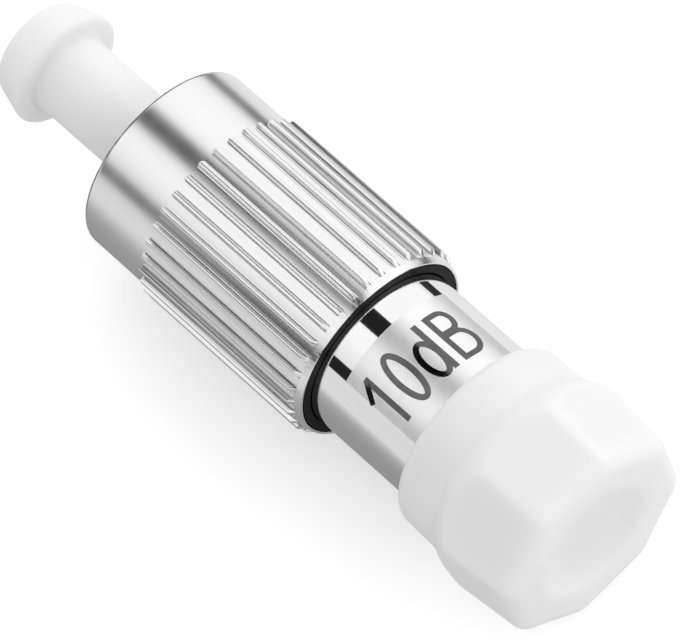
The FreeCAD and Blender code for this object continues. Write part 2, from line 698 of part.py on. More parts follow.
# Holder of the alignment sleeve: flange behind the plug frame, long tube, front lip
body = new_body("sleeve_holder")
entry = "Places.guide_radius + Sizes.sleeve_holder_mouth"
outline = profile(body, "SleeveHolderOutline", [
    ("Places.frame_rear", "Places.sleeve_room_radius"),
    ("Places.frame_rear", "Places.neck_radius"),
    ("Places.holder_flange_rear", "Places.neck_radius"),
    ("Places.holder_flange_rear", "Sizes.sleeve_holder_diameter / 2"),
    ("Places.sleeve_holder_rear - Sizes.barrel_edge", "Sizes.sleeve_holder_diameter / 2"),
    ("Places.sleeve_holder_rear", "Sizes.sleeve_holder_diameter / 2 - Sizes.barrel_edge"),
    ("Places.sleeve_holder_rear", entry),
    ("Places.sleeve_holder_rear - Sizes.sleeve_holder_mouth", "Places.guide_radius"),
    ("Places.holder_lip_front", "Places.guide_radius"),
    ("Places.holder_lip_front", "Places.sleeve_room_radius"),
])
turned(body, "SleeveHolderTurned", outline)

# Split sleeve: a thin tube with one slot along it
body = new_body("split_sleeve")
outline = profile(body, "SleeveOutline", [
    ("Places.sleeve_front", "Places.sleeve_bore_radius"),
    ("Places.sleeve_front", "Places.sleeve_radius"),
    ("Places.sleeve_rear", "Places.sleeve_radius"),
    ("Places.sleeve_rear", "Places.sleeve_bore_radius"),
])
tube = turned(body, "SleeveTurned", outline)
split_low = "Places.ferrule_radius - Sizes.sleeve_wall"
split_high = "Places.sleeve_radius + Sizes.sleeve_wall"
split_sketch = cross_rectangle(
    body, "SplitSection", "Places.sleeve_front", "Sizes.sleeve_slot_width / 2", split_low, split_high)
split = body.newObject("PartDesign::Pocket", "Split")
split.Profile = split_sketch
split.Reversed = True
split.Length = size("sleeve_length")
split.setExpression("Length", "Sizes.sleeve_length")
split_sketch.Visibility = False
doc.recompute()
cuts(tube, split)

# Value label: thin film bent round the top of the body
body = new_body("value_label", "-Sizes.label_turn")
outline = profile(body, "LabelOutline", [
    ("Places.label_front", "Places.body_radius"),
    ("Places.label_front", "Places.label_radius"),
    ("Places.label_rear", "Places.label_radius"),
    ("Places.label_rear", "Places.body_radius"),
], plane="XZ_Plane")
label = turned(body, "LabelBent", outline, angle=size("label_arc"))
label.Midplane = True
label.setExpression("Angle", "Sizes.label_arc")
doc.recompute()

# Push-on dust cap: tapered octagonal grip, shoulder, round skirt, bore and recess
body = new_body("receptacle_cap")


def octagon(body, name, offset, across_flats):
    """A regular octagon across the axis with a flat at the bottom."""
    sketch = new_sketch(body, name, "YZ_Plane", offset)
    sides = 8
    radius = numeric(across_flats) / 2 / math.cos(math.pi / sides)
    corners = []
    for index in range(sides):
        angle = math.pi * (2 * index + 1) / sides - math.pi / 2 - 2 * math.pi / sides
        corners.append(FreeCAD.Vector(radius * math.cos(angle), radius * math.sin(angle), 0))
    for index in range(sides):
        line = Part.LineSegment(corners[index], corners[(index + 1) % sides])
        sketch.addGeometry(line, False)
    circle = Part.Circle(FreeCAD.Vector(0, 0, 0), FreeCAD.Vector(0, 0, 1), radius)
    sketch.addGeometry(circle, True)
    link = Sketcher.Constraint
    sketch.addConstraint(link("Coincident", sides, 3, -1, 1))
    for index in range(sides):
        sketch.addConstraint(link("Coincident", index, 2, (index + 1) % sides, 1))
        sketch.addConstraint(link("PointOnObject", index, 1, sides))
    for index in range(1, sides):
        sketch.addConstraint(link("Equal", 0, index))
    sketch.addConstraint(link("Horizontal", 0))
    bind(sketch, link("Radius", sides, radius), across_flats + " / 2 / cos(22.5 deg)")
    return sketch


grip_sketch = octagon(body, "GripSection", "Places.cap_skirt_end", "Sizes.cap_flats")
grip = body.newObject("PartDesign::Pad", "Grip")
grip.Profile = grip_sketch
grip.Length = size("cap_length") - size("cap_skirt_length")
grip.setExpression("Length", "Sizes.cap_length - Sizes.cap_skirt_length")
grip.setExpression("TaperAngle", "-Sizes.cap_flat_taper")
grip_sketch.Visibility = False
doc.recompute()


def long_edges(feature, least):
    """Names of the edges that run nearly along the axis."""
    names = []
    for index, edge in enumerate(feature.Shape.Edges, start=1):
        if edge.BoundBox.XLength > least:
            names.append("Edge%d" % index)
    return names


def end_edges(feature, x):
    """Names of the edges that lie in the plane across the axis at x."""
    names = []
    for index, edge in enumerate(feature.Shape.Edges, start=1):
        box = edge.BoundBox
        if box.XLength < 0.01 and abs(box.XMin - x) < 0.01:
            names.append("Edge%d" % index)
    return names


grip_edges = long_edges(grip, size("cap_shoulder_length"))
corners_round = rounded(body, "CornerRound", grip, grip_edges, "Sizes.cap_corner_round")
rim = end_edges(corners_round, place("cap_end"))
end_round = rounded(body, "EndRound", corners_round, rim, "Sizes.cap_end_round")

outside = "Places.shoulder_radius + Sizes.cap_skirt_length"
shoulder_sketch = profile(body, "ShoulderOutline", [
    ("Places.cap_skirt_end - Sizes.cap_skirt_flare", "Places.skirt_end_radius"),
    ("Places.cap_skirt_end", "Places.skirt_end_radius"),
    ("Places.cap_flats_start", "Places.shoulder_radius"),
    ("Places.cap_flats_start", outside),
    ("Places.cap_skirt_end - Sizes.cap_skirt_flare", outside),
])
shoulder = turned(body, "Shoulder", shoulder_sketch, "PartDesign::Groove")
cuts(end_round, shoulder)
skirt_sketch = profile(body, "SkirtOutline", [
    ("Places.cap_mouth", "0"),
    ("Places.cap_mouth", "Places.skirt_radius"),
    ("Places.cap_skirt_end", "Places.skirt_end_radius"),
    ("Places.cap_flats_start", "Places.skirt_end_radius"),
    ("Places.cap_flats_start", "0"),
])
skirt = turned(body, "Skirt", skirt_sketch)
mouth_edges = rim_edges(skirt, place("cap_mouth"), place("skirt_radius"))
mouth = rounded(body, "MouthRound", skirt, mouth_edges, "Sizes.cap_mouth_round")
mouth_bore = "Places.label_radius + Sizes.mouth_clearance"
thread_bore = "Places.thread_radius + Sizes.push_clearance"
bore_step = "Places.cap_mouth + Sizes.cap_mouth_bore_length"
bore_sketch = profile(body, "CapBoreOutline", [
    ("Places.cap_mouth - Sizes.cap_mouth_round", "0"),
    ("Places.cap_mouth - Sizes.cap_mouth_round", mouth_bore),
    (bore_step, mouth_bore),
    (bore_step, thread_bore),
    ("Places.cap_floor", thread_bore),
    ("Places.cap_floor", "0"),
])
bored = turned(body, "CapBore", bore_sketch, "PartDesign::Groove")
cuts(mouth, bored)
recess_sketch = profile(body, "RecessOutline", [
    ("Places.cap_end - Sizes.cap_recess_depth", "0"),
    ("Places.cap_end - Sizes.cap_recess_depth", "Sizes.cap_recess_diameter / 2 - Sizes.cap_recess_wall"),
    ("Places.cap_end", "Sizes.cap_recess_diameter / 2"),
    ("Places.cap_end + Sizes.cap_recess_depth", "Sizes.cap_recess_diameter / 2"),
    ("Places.cap_end + Sizes.cap_recess_depth", "0"),
])
recess = turned(body, "EndRecess", recess_sketch, "PartDesign::Groove")
cuts(bored, recess)

# Checks and export
doc.removeObject("Probe")
doc.recompute()
for item in doc.Objects:
    if "Invalid" in item.State or "Error" in item.State:
        raise RuntimeError("failed: " + item.Name + " " + str(item.State))
os.makedirs("parts", exist_ok=True)
for name, item in parts.items():
    shape = item.Shape
    if shape.isNull() or not shape.isValid() or len(shape.Solids) != 1:
        raise RuntimeError("bad shape: " + name)
for name, item in parts.items():
    item.Shape.exportStep(os.path.join("parts", name + ".step"))
    box = item.Shape.BoundBox
    print("%-16s volume %9.4f  x %7.3f..%7.3f  z %6.3f..%6.3f" % (
        name, item.Shape.Volume, box.XMin, box.XMax, box.ZMin, box.ZMax))
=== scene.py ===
# %% [markdown]
# # A fixed fibre attenuator, dressed for its photograph
# The object is a short metal barrel that weakens the light in an optical fibre by a set amount.
# One end is a plug with a knurled coupling nut, the other a threaded receptacle, and a white dust
# cap sits on each. The solid model fixes every size and place. This lesson gives the pieces their
# finish: it draws the visible turned pieces again with fine, true curves, cuts the threads, prints
# the value on its silver film, and lights the whole like a small product on a pale table.

import math

import bmesh
import bpy
from mathutils import Matrix, Vector


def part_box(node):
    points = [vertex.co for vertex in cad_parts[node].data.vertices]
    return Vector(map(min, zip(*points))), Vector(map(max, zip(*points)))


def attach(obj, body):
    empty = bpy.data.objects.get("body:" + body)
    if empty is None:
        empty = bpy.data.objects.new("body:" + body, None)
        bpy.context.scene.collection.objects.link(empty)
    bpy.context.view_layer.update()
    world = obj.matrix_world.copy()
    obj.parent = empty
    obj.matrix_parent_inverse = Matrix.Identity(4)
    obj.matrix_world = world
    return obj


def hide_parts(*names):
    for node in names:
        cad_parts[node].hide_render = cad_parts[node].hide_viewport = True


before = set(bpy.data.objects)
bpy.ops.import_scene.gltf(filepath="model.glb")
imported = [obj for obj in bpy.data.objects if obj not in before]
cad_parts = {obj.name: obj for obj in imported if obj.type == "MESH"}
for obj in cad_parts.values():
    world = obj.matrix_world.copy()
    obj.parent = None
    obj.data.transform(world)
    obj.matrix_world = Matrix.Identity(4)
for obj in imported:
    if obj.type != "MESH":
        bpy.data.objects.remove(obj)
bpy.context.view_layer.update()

# %% [markdown]
# ## One axis for everything
# All the pieces are turned about the optical axis, which runs along X above the table. Every size
# below is in millimetres, as on a drawing, and each end is read from the solid it belongs to, so a
# piece drawn here sits exactly where the solid sits.

# %% The axis and the ends of the solids
MM = 0.001


def middle(node, letter):
    low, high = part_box(node)
    index = "xyz".index(letter)
    return (low[index] + high[index]) / 2


def ends(node):
    """Where a piece starts and ends along the axis, in millimetres."""
    low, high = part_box(node)
    return low.x / MM, high.x / MM


AXIS_HEIGHT = middle("ferrule", "z") / MM
print("the axis is", round(AXIS_HEIGHT, 4), "mm above the table")

# %% [markdown]
# ## Turning on the lathe
# Caps, ring, nut blank and barrel all come off a lathe or out of a round mould. A turned piece is
# one outline, from the axis outwards, spun about the axis. Real corners are never quite sharp, so
# the outline carries a small round at each corner, and a row of points just before each round keeps
# the long faces truly straight in reflections.

# %% A corner list becomes a smooth outline
ROUND_STEPS = 6
GUARD = 0.03


def rounded_outline(corners):
    """Corners (x, radius, round) of a closed outline become points, with each round as an arc."""
    points = []
    count = len(corners)
    for index, (x, radius, *rest) in enumerate(corners):
        rounding = rest[0] if rest else 0.0
        here = Vector((x, radius))
        if rounding <= 0:
            points.append((here.x, here.y))
            continue
        back = Vector(corners[index - 1][:2]) - here
        ahead = Vector(corners[(index + 1) % count][:2]) - here
        half = back.angle(ahead) / 2
        reach = rounding / math.tan(half)
        centre = here + (back.normalized() + ahead.normalized()).normalized() * (rounding / math.sin(half))
        start = here + back.normalized() * reach
        end = here + ahead.normalized() * reach
        if back.length > reach + 3 * GUARD:
            guard = start + back.normalized() * GUARD
            points.append((guard.x, guard.y))
        first = math.atan2(start.y - centre.y, start.x - centre.x)
        swing = math.atan2(end.y - centre.y, end.x - centre.x) - first
        swing = (swing + math.pi) % (2 * math.pi) - math.pi
        for step in range(ROUND_STEPS + 1):
            angle = first + swing * step / ROUND_STEPS
            points.append((centre.x + rounding * math.cos(angle), centre.y + rounding * math.sin(angle)))
        if ahead.length > reach + 3 * GUARD:
            guard = end + ahead.normalized() * GUARD
            points.append((guard.x, guard.y))
    return points


# %% Spin an outline about the axis
SEGMENTS = 240


def axis_point(x, radius, angle):
    """A point by its place along the axis, its radius and its angle from the top towards +Y."""
    across = radius * math.sin(angle)
    up = AXIS_HEIGHT + radius * math.cos(angle)
    return Vector((x * MM, across * MM, up * MM))


def add_object(name, data):
    piece = bpy.data.objects.new(name, data)
    bpy.context.scene.collection.objects.link(piece)
    return piece


def plain_object(name, build):
    """An object from a mesh in the making, its faces outwards."""
    bmesh.ops.recalc_face_normals(build, faces=build.faces)
    mesh = bpy.data.meshes.new(name)
    build.to_mesh(mesh)
    build.free()
    return add_object(name, mesh)


def shade(mesh, sharp_above):
    """Smooth shading, broken only at real edges."""
    mesh.shade_smooth()
    mesh.set_sharp_from_angle(angle=math.radians(sharp_above))


def shaded_object(name, build, sharp_above=32.0):
    piece = plain_object(name, build)
    shade(piece.data, sharp_above)
    return piece


def spin_row(build, row):
    """One ring of points about the axis, from an (x, radius) for each angle."""
    return [build.verts.new(axis_point(x, radius, 2 * math.pi * k / len(row)))
            for k, (x, radius) in enumerate(row)]


def bridge(build, this, after, closed=True):
    """A band of faces between two rows of points. To a row of one point it closes like a fan."""
    count = max(len(this), len(after))
    for k in range(count if closed else count - 1):
        corners = [this[k % len(this)], this[(k + 1) % len(this)]]
        corners += [after[(k + 1) % len(after)], after[k % len(after)]]
        corners = list(dict.fromkeys(corners))
        if len(corners) > 2:
            build.faces.new(corners)


def turned(name, points):
    """A closed outline of (x, radius) points spun about the axis into a closed mesh."""
    build = bmesh.new()
    rings = [spin_row(build, [point] * (1 if point[1] < 1e-6 else SEGMENTS)) for point in points]
    for this, after in zip(rings, rings[1:] + rings[:1]):
        bridge(build, this, after)
    return shaded_object(name, build)


# %% [markdown]
# ## Materials: a common start
# Each finish is one shader with its own colour, gloss and fine relief. The patterns read the
# piece's own coordinates, in metres, so a scale of 1000 makes features of about a millimetre. The
# relief heights are real ones, about a micrometre or less on plated metal and a few on plastic.

# %% Helpers for the material nodes
def set_inputs(node, values):
    for name, value in values.items():
        node.inputs[name].default_value = value


def start_material(name, colour, roughness, metallic=0.0):
    material = bpy.data.materials.new(name)
    material.use_nodes = True
    shader = material.node_tree.nodes["Principled BSDF"]
    set_inputs(shader, {"Base Color": (*colour, 1.0), "Roughness": roughness, "Metallic": metallic})
    return material, shader


def wire(*pairs):
    """Join each output to the input beside it."""
    for source, target in pairs:
        target.id_data.links.new(source, target)


def even(number):
    """The same number three times, as a grey or an even scale."""
    return (number, number, number)


def map_range(value, old, new):
    """A value carried over from one range to another."""
    spread = value.id_data.nodes.new("ShaderNodeMapRange")
    set_inputs(spread, {"From Min": old[0], "From Max": old[1], "To Min": new[0], "To Max": new[1]})
    wire((value, spread.inputs["Value"]))
    return spread.outputs["Result"]


def stretched_noise(shader, scale, detail=2.0, roughness=0.5):
    """Noise on the piece's own coordinates, its grain set apart for X, Y and Z."""
    nodes = shader.id_data.nodes
    place = nodes.new("ShaderNodeTexCoord")
    mapping = nodes.new("ShaderNodeMapping")
    noise = nodes.new("ShaderNodeTexNoise")
    set_inputs(mapping, {"Location": (0.0, 0.0, -AXIS_HEIGHT * MM * scale[2]), "Scale": scale})
    set_inputs(noise, {"Scale": 1.0, "Detail": detail, "Roughness": roughness})
    wire((place.outputs["Object"], mapping.inputs["Vector"]),
         (mapping.outputs["Vector"], noise.inputs["Vector"]))
    return noise.outputs["Fac"]


NOISE_RANGE = (0.3, 0.7)


def ramp_between(value, low, high):
    """Noise, which mostly keeps to the middle, spread over a new range."""
    return map_range(value, NOISE_RANGE, (low, high))


def tint(shader, value, first, second):
    """Let the colour follow a value from one tone to another."""
    mix = shader.id_data.nodes.new("ShaderNodeMix")
    mix.data_type = "RGBA"
    set_inputs(mix, {"A": (*first, 1.0), "B": (*second, 1.0)})
    wire((value, mix.inputs["Factor"]), (mix.outputs["Result"], shader.inputs["Base Color"]))


def vary_colour(shader, scale, first, second):
    """Let the colour drift slowly between two tones."""
    tint(shader, ramp_between(stretched_noise(shader, scale), 0.0, 1.0), first, second)


def vary_gloss(shader, value, smooth, rough):
    """Let the roughness follow a noise between two values."""
    wire((ramp_between(value, smooth, rough), shader.inputs["Roughness"]))


def relief(shader, value, height):
    """Fine relief of a real height in millimetres."""
    bump = shader.id_data.nodes.new("ShaderNodeBump")
    set_inputs(bump, {"Strength": 1.0, "Distance": height * MM})
    wire((value, bump.inputs["Height"]), (bump.outputs["Normal"], shader.inputs["Normal"]))


def darker(colour, share):
    return tuple(channel * share for channel in colour)


# %% [markdown]
# ## Polished nickel on the barrel
# The body is turned from brass, plated with nickel and polished, so it mirrors the room. What is
# left of the lathe is a trace of rings across the axis, far finer than a hair, and a faint cloud in
# the gloss where fingers have been. Noise squeezed along X gives the rings.

# %% Nickel for the body
def nickel(name, colour, roughness, ring_height, cloud):
    material, shader = start_material(name, colour, roughness, metallic=1.0)
    warm = tuple(channel * share for channel, share in zip(colour, (0.985, 0.984, 0.982)))
    vary_colour(shader, even(160.0), colour, warm)
    wear = stretched_noise(shader, even(900.0), detail=5.0, roughness=0.65)
    vary_gloss(shader, wear, roughness, roughness + cloud)
    rings = stretched_noise(shader, (22000.0, 120.0, 120.0))
    relief(shader, rings, ring_height)
    return material


body_nickel = nickel("polished_nickel_plate", even(0.94), 0.05, 0.00004, 0.02)
inner_nickel = nickel("bright_nickel_plate", (0.74, 0.73, 0.70), 0.16, 0.0003, 0.06)
print("made", body_nickel.name, "and", inner_nickel.name)

# %% [markdown]
# ## Nickel on the nut
# The nut has the same plating over a duller brass, so its collar mirrors softly. The rolled knurl
# leaves fine lines along each rib, and the collar keeps the lathe's rings. Two noises, one drawn out
# along the axis and one squeezed along it, change over at the step where the knurl begins. A dark
# second material paints shade on the rib flanks and a dark reflection on the front chamfer.

# %% Nickel for the nut
COLLAR_LENGTH = 3.9
KNURL_START = ends("coupling_nut")[0] + COLLAR_LENGTH
CHANGE_OVER = 0.02


def coordinate(tree, kind, letter):
    """One coordinate: "Object" reads the piece's own axes, "Generated" the directions of the room."""
    place = tree.nodes.new("ShaderNodeTexCoord")
    parts = tree.nodes.new("ShaderNodeSeparateXYZ")
    wire((place.outputs[kind], parts.inputs["Vector"]))
    return parts.outputs[letter]


def number_mix(factor, first, second):
    """The first number where the factor is 0, the second where it is 1."""
    mix = factor.id_data.nodes.new("ShaderNodeMix")
    wire((factor, mix.inputs["Factor"]), (first, mix.inputs["A"]), (second, mix.inputs["B"]))
    return mix.outputs["Result"]


def nut_nickel():
    colour = even(0.94)
    material, shader = start_material("nickel_on_the_nut", colour, 0.17, metallic=1.0)
    lines = stretched_noise(shader, (50.0, 8000.0, 8000.0))
    rings = stretched_noise(shader, (1500.0, 15.0, 15.0), detail=1.0)
    wear = stretched_noise(shader, even(350.0))
    step = ((KNURL_START - CHANGE_OVER) * MM, (KNURL_START + CHANGE_OVER) * MM)
    on_knurl = map_range(coordinate(shader.id_data, "Object", "X"), step, (0.0, 1.0))
    gloss = number_mix(on_knurl, ramp_between(wear, 0.24, 0.28), ramp_between(lines, 0.18, 0.34))
    wire((gloss, shader.inputs["Roughness"]))
    relief(shader, number_mix(on_knurl, rings, lines), 0.0015)
    vary_colour(shader, even(200.0), colour, (0.92, 0.92, 0.918))
    return material


# Painted shade: a dark, mottled metal for the rib flanks, standing in for shadow in the knurl's corners, and
# for the front chamfer, standing in for a dark reflection.
def painted_corner_shade():
    material, shader = start_material("painted_shade_in_corners", even(0.25), 0.35, metallic=1.0)
    shade_mottle = stretched_noise(shader, (300.0, 2500.0, 2500.0), detail=3.0)
    tint(shader, ramp_between(shade_mottle, 0.0, 1.0), even(0.10), even(0.45))
    vary_gloss(shader, shade_mottle, 0.28, 0.45)
    relief(shader, shade_mottle, 0.0004)
    return material


knurl_nickel = nut_nickel()
corner_shade_nickel = painted_corner_shade()
print("made", knurl_nickel.name, "and", corner_shade_nickel.name)

# %% [markdown]
# ## White moulded caps
# The dust caps are soft polyethylene. Light goes a little way into them and comes out softened, so
# edges look milky. Their skin is satin with a faint orange-peel relief from the mould. Subsurface
# scattering over almost a millimetre gives the depth, and slow noise drifts the white a little.

# %% White plastic
def moulded_white(name, colour, depth):
    material, shader = start_material(name, colour, 0.42)
    shader.subsurface_method = "RANDOM_WALK"
    set_inputs(shader, {"Subsurface Weight": 0.85, "Subsurface Radius": (1.0, 1.0, 1.0),
                        "Subsurface Scale": depth * MM, "IOR": 1.5})
    vary_colour(shader, even(130.0), colour, darker(colour, 0.985))
    vary_gloss(shader, stretched_noise(shader, even(700.0), detail=3.0), 0.38, 0.50)
    relief(shader, stretched_noise(shader, even(1500.0)), 0.004)
    return material


small_cap_white = moulded_white("moulded_white_small_cap", even(0.95), 0.9)
large_cap_white = moulded_white("moulded_white_large_cap", even(0.95), 0.8)
print("made", small_cap_white.name, "and", large_cap_white.name)

# %% [markdown]
# ## The small dust cap
# It slips over the ceramic ferrule: a tube with a mushroom head to pull it by. It is moulded with
# soft edges, and one turned outline is all it needs.

# %% Small dust cap
cap_start, cap_stop = ends("plug_cap")
head_end = cap_start + 2.1
bore_end = ends("ferrule")[0] - 0.9
HEAD_RADIUS = 3.0
HEAD_FRONT_RADIUS = 2.4
SLEEVE_RADIUS = 1.975
SLEEVE_TIP_RADIUS = 1.915
CAP_BORE_RADIUS = 1.27
small_cap = turned("ferrule_dust_cap", rounded_outline([
    (cap_start, 0.0),
    (cap_start, HEAD_FRONT_RADIUS, 0.6),
    (head_end, HEAD_RADIUS, 0.25),
    (head_end, SLEEVE_RADIUS, 0.25),
    (cap_stop, SLEEVE_TIP_RADIUS, 0.08),
    (cap_stop, CAP_BORE_RADIUS, 0.06),
    (bore_end, CAP_BORE_RADIUS, 0.2),
    (bore_end, 0.0),
]))
small_cap.data.materials.append(small_cap_white)
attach(small_cap, "small_cap")
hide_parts("plug_cap")
print("small cap:", len(small_cap.data.polygons), "faces")

# %% [markdown]
# ## A thread by rule
# The tube carries an M8 x 0.75 thread and the nut the thread that fits it. A thread is a rule: along
# the axis the radius falls and rises once in each pitch, and one turn about the axis shifts it by
# one pitch. So a Geometry Nodes tree takes a plain turned piece with fine rows and moves each point
# of the threaded stretch in or out by that rule. The same tree, with the sign changed, cuts the nut.

# %% The thread as a Geometry Nodes tree
PITCH = 0.75
THREAD_DEPTH = 0.44
CREST_SHARE = 0.13
FLANK_SLOPE = 1.4


def calc(operation, *values):
    """One arithmetic step. Each value is a socket or a number, and at least one is a socket."""
    tree = next(value for value in values if not isinstance(value, (int, float))).id_data
    step = tree.nodes.new("ShaderNodeMath")
    step.operation = operation
    for target, value in zip(step.inputs, values):
        if isinstance(value, (int, float)):
            target.default_value = value
        else:
            wire((value, target))
    return step.outputs[0]


def clamped(value):
    return calc("MINIMUM", calc("MAXIMUM", value, 0.0), 1.0)


def between(value, low, high, blend):
    """1 inside a stretch, 0 outside it, with a slope of length blend at both ends."""
    rise = calc("DIVIDE", calc("SUBTRACT", value, low), blend)
    fall = calc("DIVIDE", calc("SUBTRACT", high, value), blend)
    return clamped(calc("MINIMUM", rise, fall))


def start_tree(name, inputs):
    """A new tree with named inputs that gives out geometry."""
    tree = bpy.data.node_groups.new(name, "GeometryNodeTree")
    for label, kind in inputs.items():
        tree.interface.new_socket(name=label, in_out="INPUT", socket_type="NodeSocket" + kind)
    tree.interface.new_socket(name="Geometry", in_out="OUTPUT", socket_type="NodeSocketGeometry")
    return tree, tree.nodes.new("NodeGroupInput").outputs


def finish_tree(tree, geometry, material, seam=None):
    """Make the result real, sew it where a seam is given, then paint it."""
    whole = tree.nodes.new("GeometryNodeRealizeInstances")
    paint = tree.nodes.new("GeometryNodeSetMaterial")
    result = tree.nodes.new("NodeGroupOutput")
    made = whole.outputs["Geometry"]
    if seam is not None:
        sew = tree.nodes.new("GeometryNodeMergeByDistance")
        wire((made, sew.inputs["Geometry"]), (seam, sew.inputs["Distance"]))
        made = sew.outputs["Geometry"]
    wire((geometry, whole.inputs["Geometry"]), (made, paint.inputs["Geometry"]),
         (material, paint.inputs["Material"]), (paint.outputs["Geometry"], result.inputs["Geometry"]))
    return tree


THREAD_LENGTHS = ("Pitch", "Depth", "Start", "End", "Run Out", "Least Radius", "Most Radius", "Axis Height")
WALL_BLEND = 0.0005


def thread_tree():
    tree, given = start_tree("thread_cutter", {
        "Geometry": "Geometry", **dict.fromkeys(THREAD_LENGTHS, "Float"), "Material": "Material"})
    where = tree.nodes.new("GeometryNodeInputPosition")
    split = tree.nodes.new("ShaderNodeSeparateXYZ")
    x, y = split.outputs["X"], split.outputs["Y"]
    z = calc("SUBTRACT", split.outputs["Z"], given["Axis Height"])
    radius = calc("SQRT", calc("ADD", calc("MULTIPLY", y, y), calc("MULTIPLY", z, z)))
    turn = calc("DIVIDE", calc("ARCTAN2", z, y), 2 * math.pi)
    phase = calc("FRACT", calc("SUBTRACT", calc("DIVIDE", x, given["Pitch"]), turn))
    ridge = calc("ABSOLUTE", calc("SUBTRACT", calc("MULTIPLY", phase, 2.0), 1.0))
    form = clamped(calc("MULTIPLY", calc("SUBTRACT", ridge, CREST_SHARE), FLANK_SLOPE))
    stretch = between(x, given["Start"], given["End"], given["Run Out"])
    cut = calc("MULTIPLY", calc("MULTIPLY", form, given["Depth"]), stretch)
    wall = between(radius, given["Least Radius"], given["Most Radius"], WALL_BLEND * MM)
    outward = tree.nodes.new("ShaderNodeCombineXYZ")
    shift = tree.nodes.new("ShaderNodeVectorMath")
    shift.operation = "SCALE"
    push = tree.nodes.new("GeometryNodeSetPosition")
    wire((where.outputs["Position"], split.inputs["Vector"]),
         (calc("DIVIDE", y, radius), outward.inputs["Y"]),
         (calc("DIVIDE", z, radius), outward.inputs["Z"]),
         (outward.outputs["Vector"], shift.inputs[0]),
         (calc("MULTIPLY", cut, wall), shift.inputs["Scale"]),
         (given["Geometry"], push.inputs["Geometry"]),
         (shift.outputs["Vector"], push.inputs["Offset"]))
    return finish_tree(tree, push.outputs["Geometry"], given["Material"])


thread_cutter = thread_tree()


def apply_tree(piece, tree, values):
    """Run a tree on a piece and keep the result as its plain mesh."""
    modifier = piece.modifiers.new(tree.name, "NODES")
    modifier.node_group = tree
    inputs = [socket for socket in tree.interface.items_tree if socket.in_out == "INPUT"]
    keys = {socket.name: socket.identifier for socket in inputs}
    for name, value in values.items():
        modifier[keys[name]] = value
    depsgraph = bpy.context.evaluated_depsgraph_get()
    made = bpy.data.meshes.new_from_object(piece.evaluated_get(depsgraph))
    piece.modifiers.clear()
    old = piece.data
    piece.data = made
    bpy.data.meshes.remove(old)
    made.name = piece.name
    made.materials.clear()
    made.materials.append(values["Material"])
    for face in made.polygons:
        face.material_index = 0


def cut_thread(piece, depth, start, end, run_out, wall, material):
    """Cut the thread from start to end into the surface between two radii, in millimetres."""
    lengths = (PITCH, depth, start, end, run_out, *wall, AXIS_HEIGHT)
    values = {name: length * MM for name, length in zip(THREAD_LENGTHS, lengths)}
    apply_tree(piece, thread_cutter, {**values, "Material": material})


print("thread tree:", len(thread_cutter.nodes), "nodes")

# %% [markdown]
# ## The coupling nut
# The nut is turned with a smooth collar in front, then a straight knurl is rolled round its back
# two thirds so that fingers can grip it. Thirty-five equal ribs mean thirty-five equal slices: one
# slice is drawn with its narrow rib, flat valley, wall, bore and lips, and a Geometry Nodes tree sets
# it round the axis and joins the seams. That is how a repeat should be made: change the slice or the
# count, and the whole nut follows.

# %% Sizes of the knurl
RIBS = 35
KNURL_RADIUS = 5.0
ROOT_RADIUS = 4.76
COLLAR_RADIUS = 4.75
SLICE = 2 * math.pi / RIBS
RIB_CREST = 0.16
RIB_FOOT = 0.34
RIB_PHASE = math.radians(-10.64)
CROWN = 0.012


def rib_radius(angle):
    """The knurl's radius at an angle from the middle of a rib."""
    across = abs(angle) * KNURL_RADIUS
    share = min(max((RIB_FOOT / 2 - across) / ((RIB_FOOT - RIB_CREST) / 2), 0.0), 1.0)
    eased = share * share * (3 - 2 * share)
    crown = CROWN * min((across / (RIB_CREST / 2)) ** 2, 1.0)
    return ROOT_RADIUS + (KNURL_RADIUS - ROOT_RADIUS) * eased - crown * eased


# %% One slice of the nut
nut_start, nut_stop = ends("coupling_nut")
KNURL_END = nut_stop - 0.55
RIM_START = nut_stop - 0.3
SEAT_START = nut_stop - 1.47
LIP_END = nut_stop - 5.8
LIP_START = nut_stop - 6.99
NUT_THREAD_END = nut_start + 5.0
RIM_OUTER = 4.64
RIM_INNER = 4.58
SEAT_RADIUS = 4.549
RUNNING_BORE = 4.12
LIP_BORE = 3.08
RELIEF_BORE = 4.05
THREAD_BORE = 3.595
THREAD_LEAD = 0.4
HALF_SLICE = [0.5, 0.38, 0.26, 0.2, 0.178, 0.166, 0.154, 0.142, 0.13, 0.118, 0.1, 0.07, 0.035]
SLICE_ANGLES = [share * SLICE for share in [-half for half in HALF_SLICE] + [0.0] + HALF_SLICE[::-1]]
ROWS_PER_PITCH = 12


def thread_rows(start, stop, radius):
    """Rows close enough together to carry a thread."""
    count = int(round(abs(stop - start) / PITCH * ROWS_PER_PITCH))
    return [(start + (stop - start) * k / count, radius) for k in range(count + 1)]


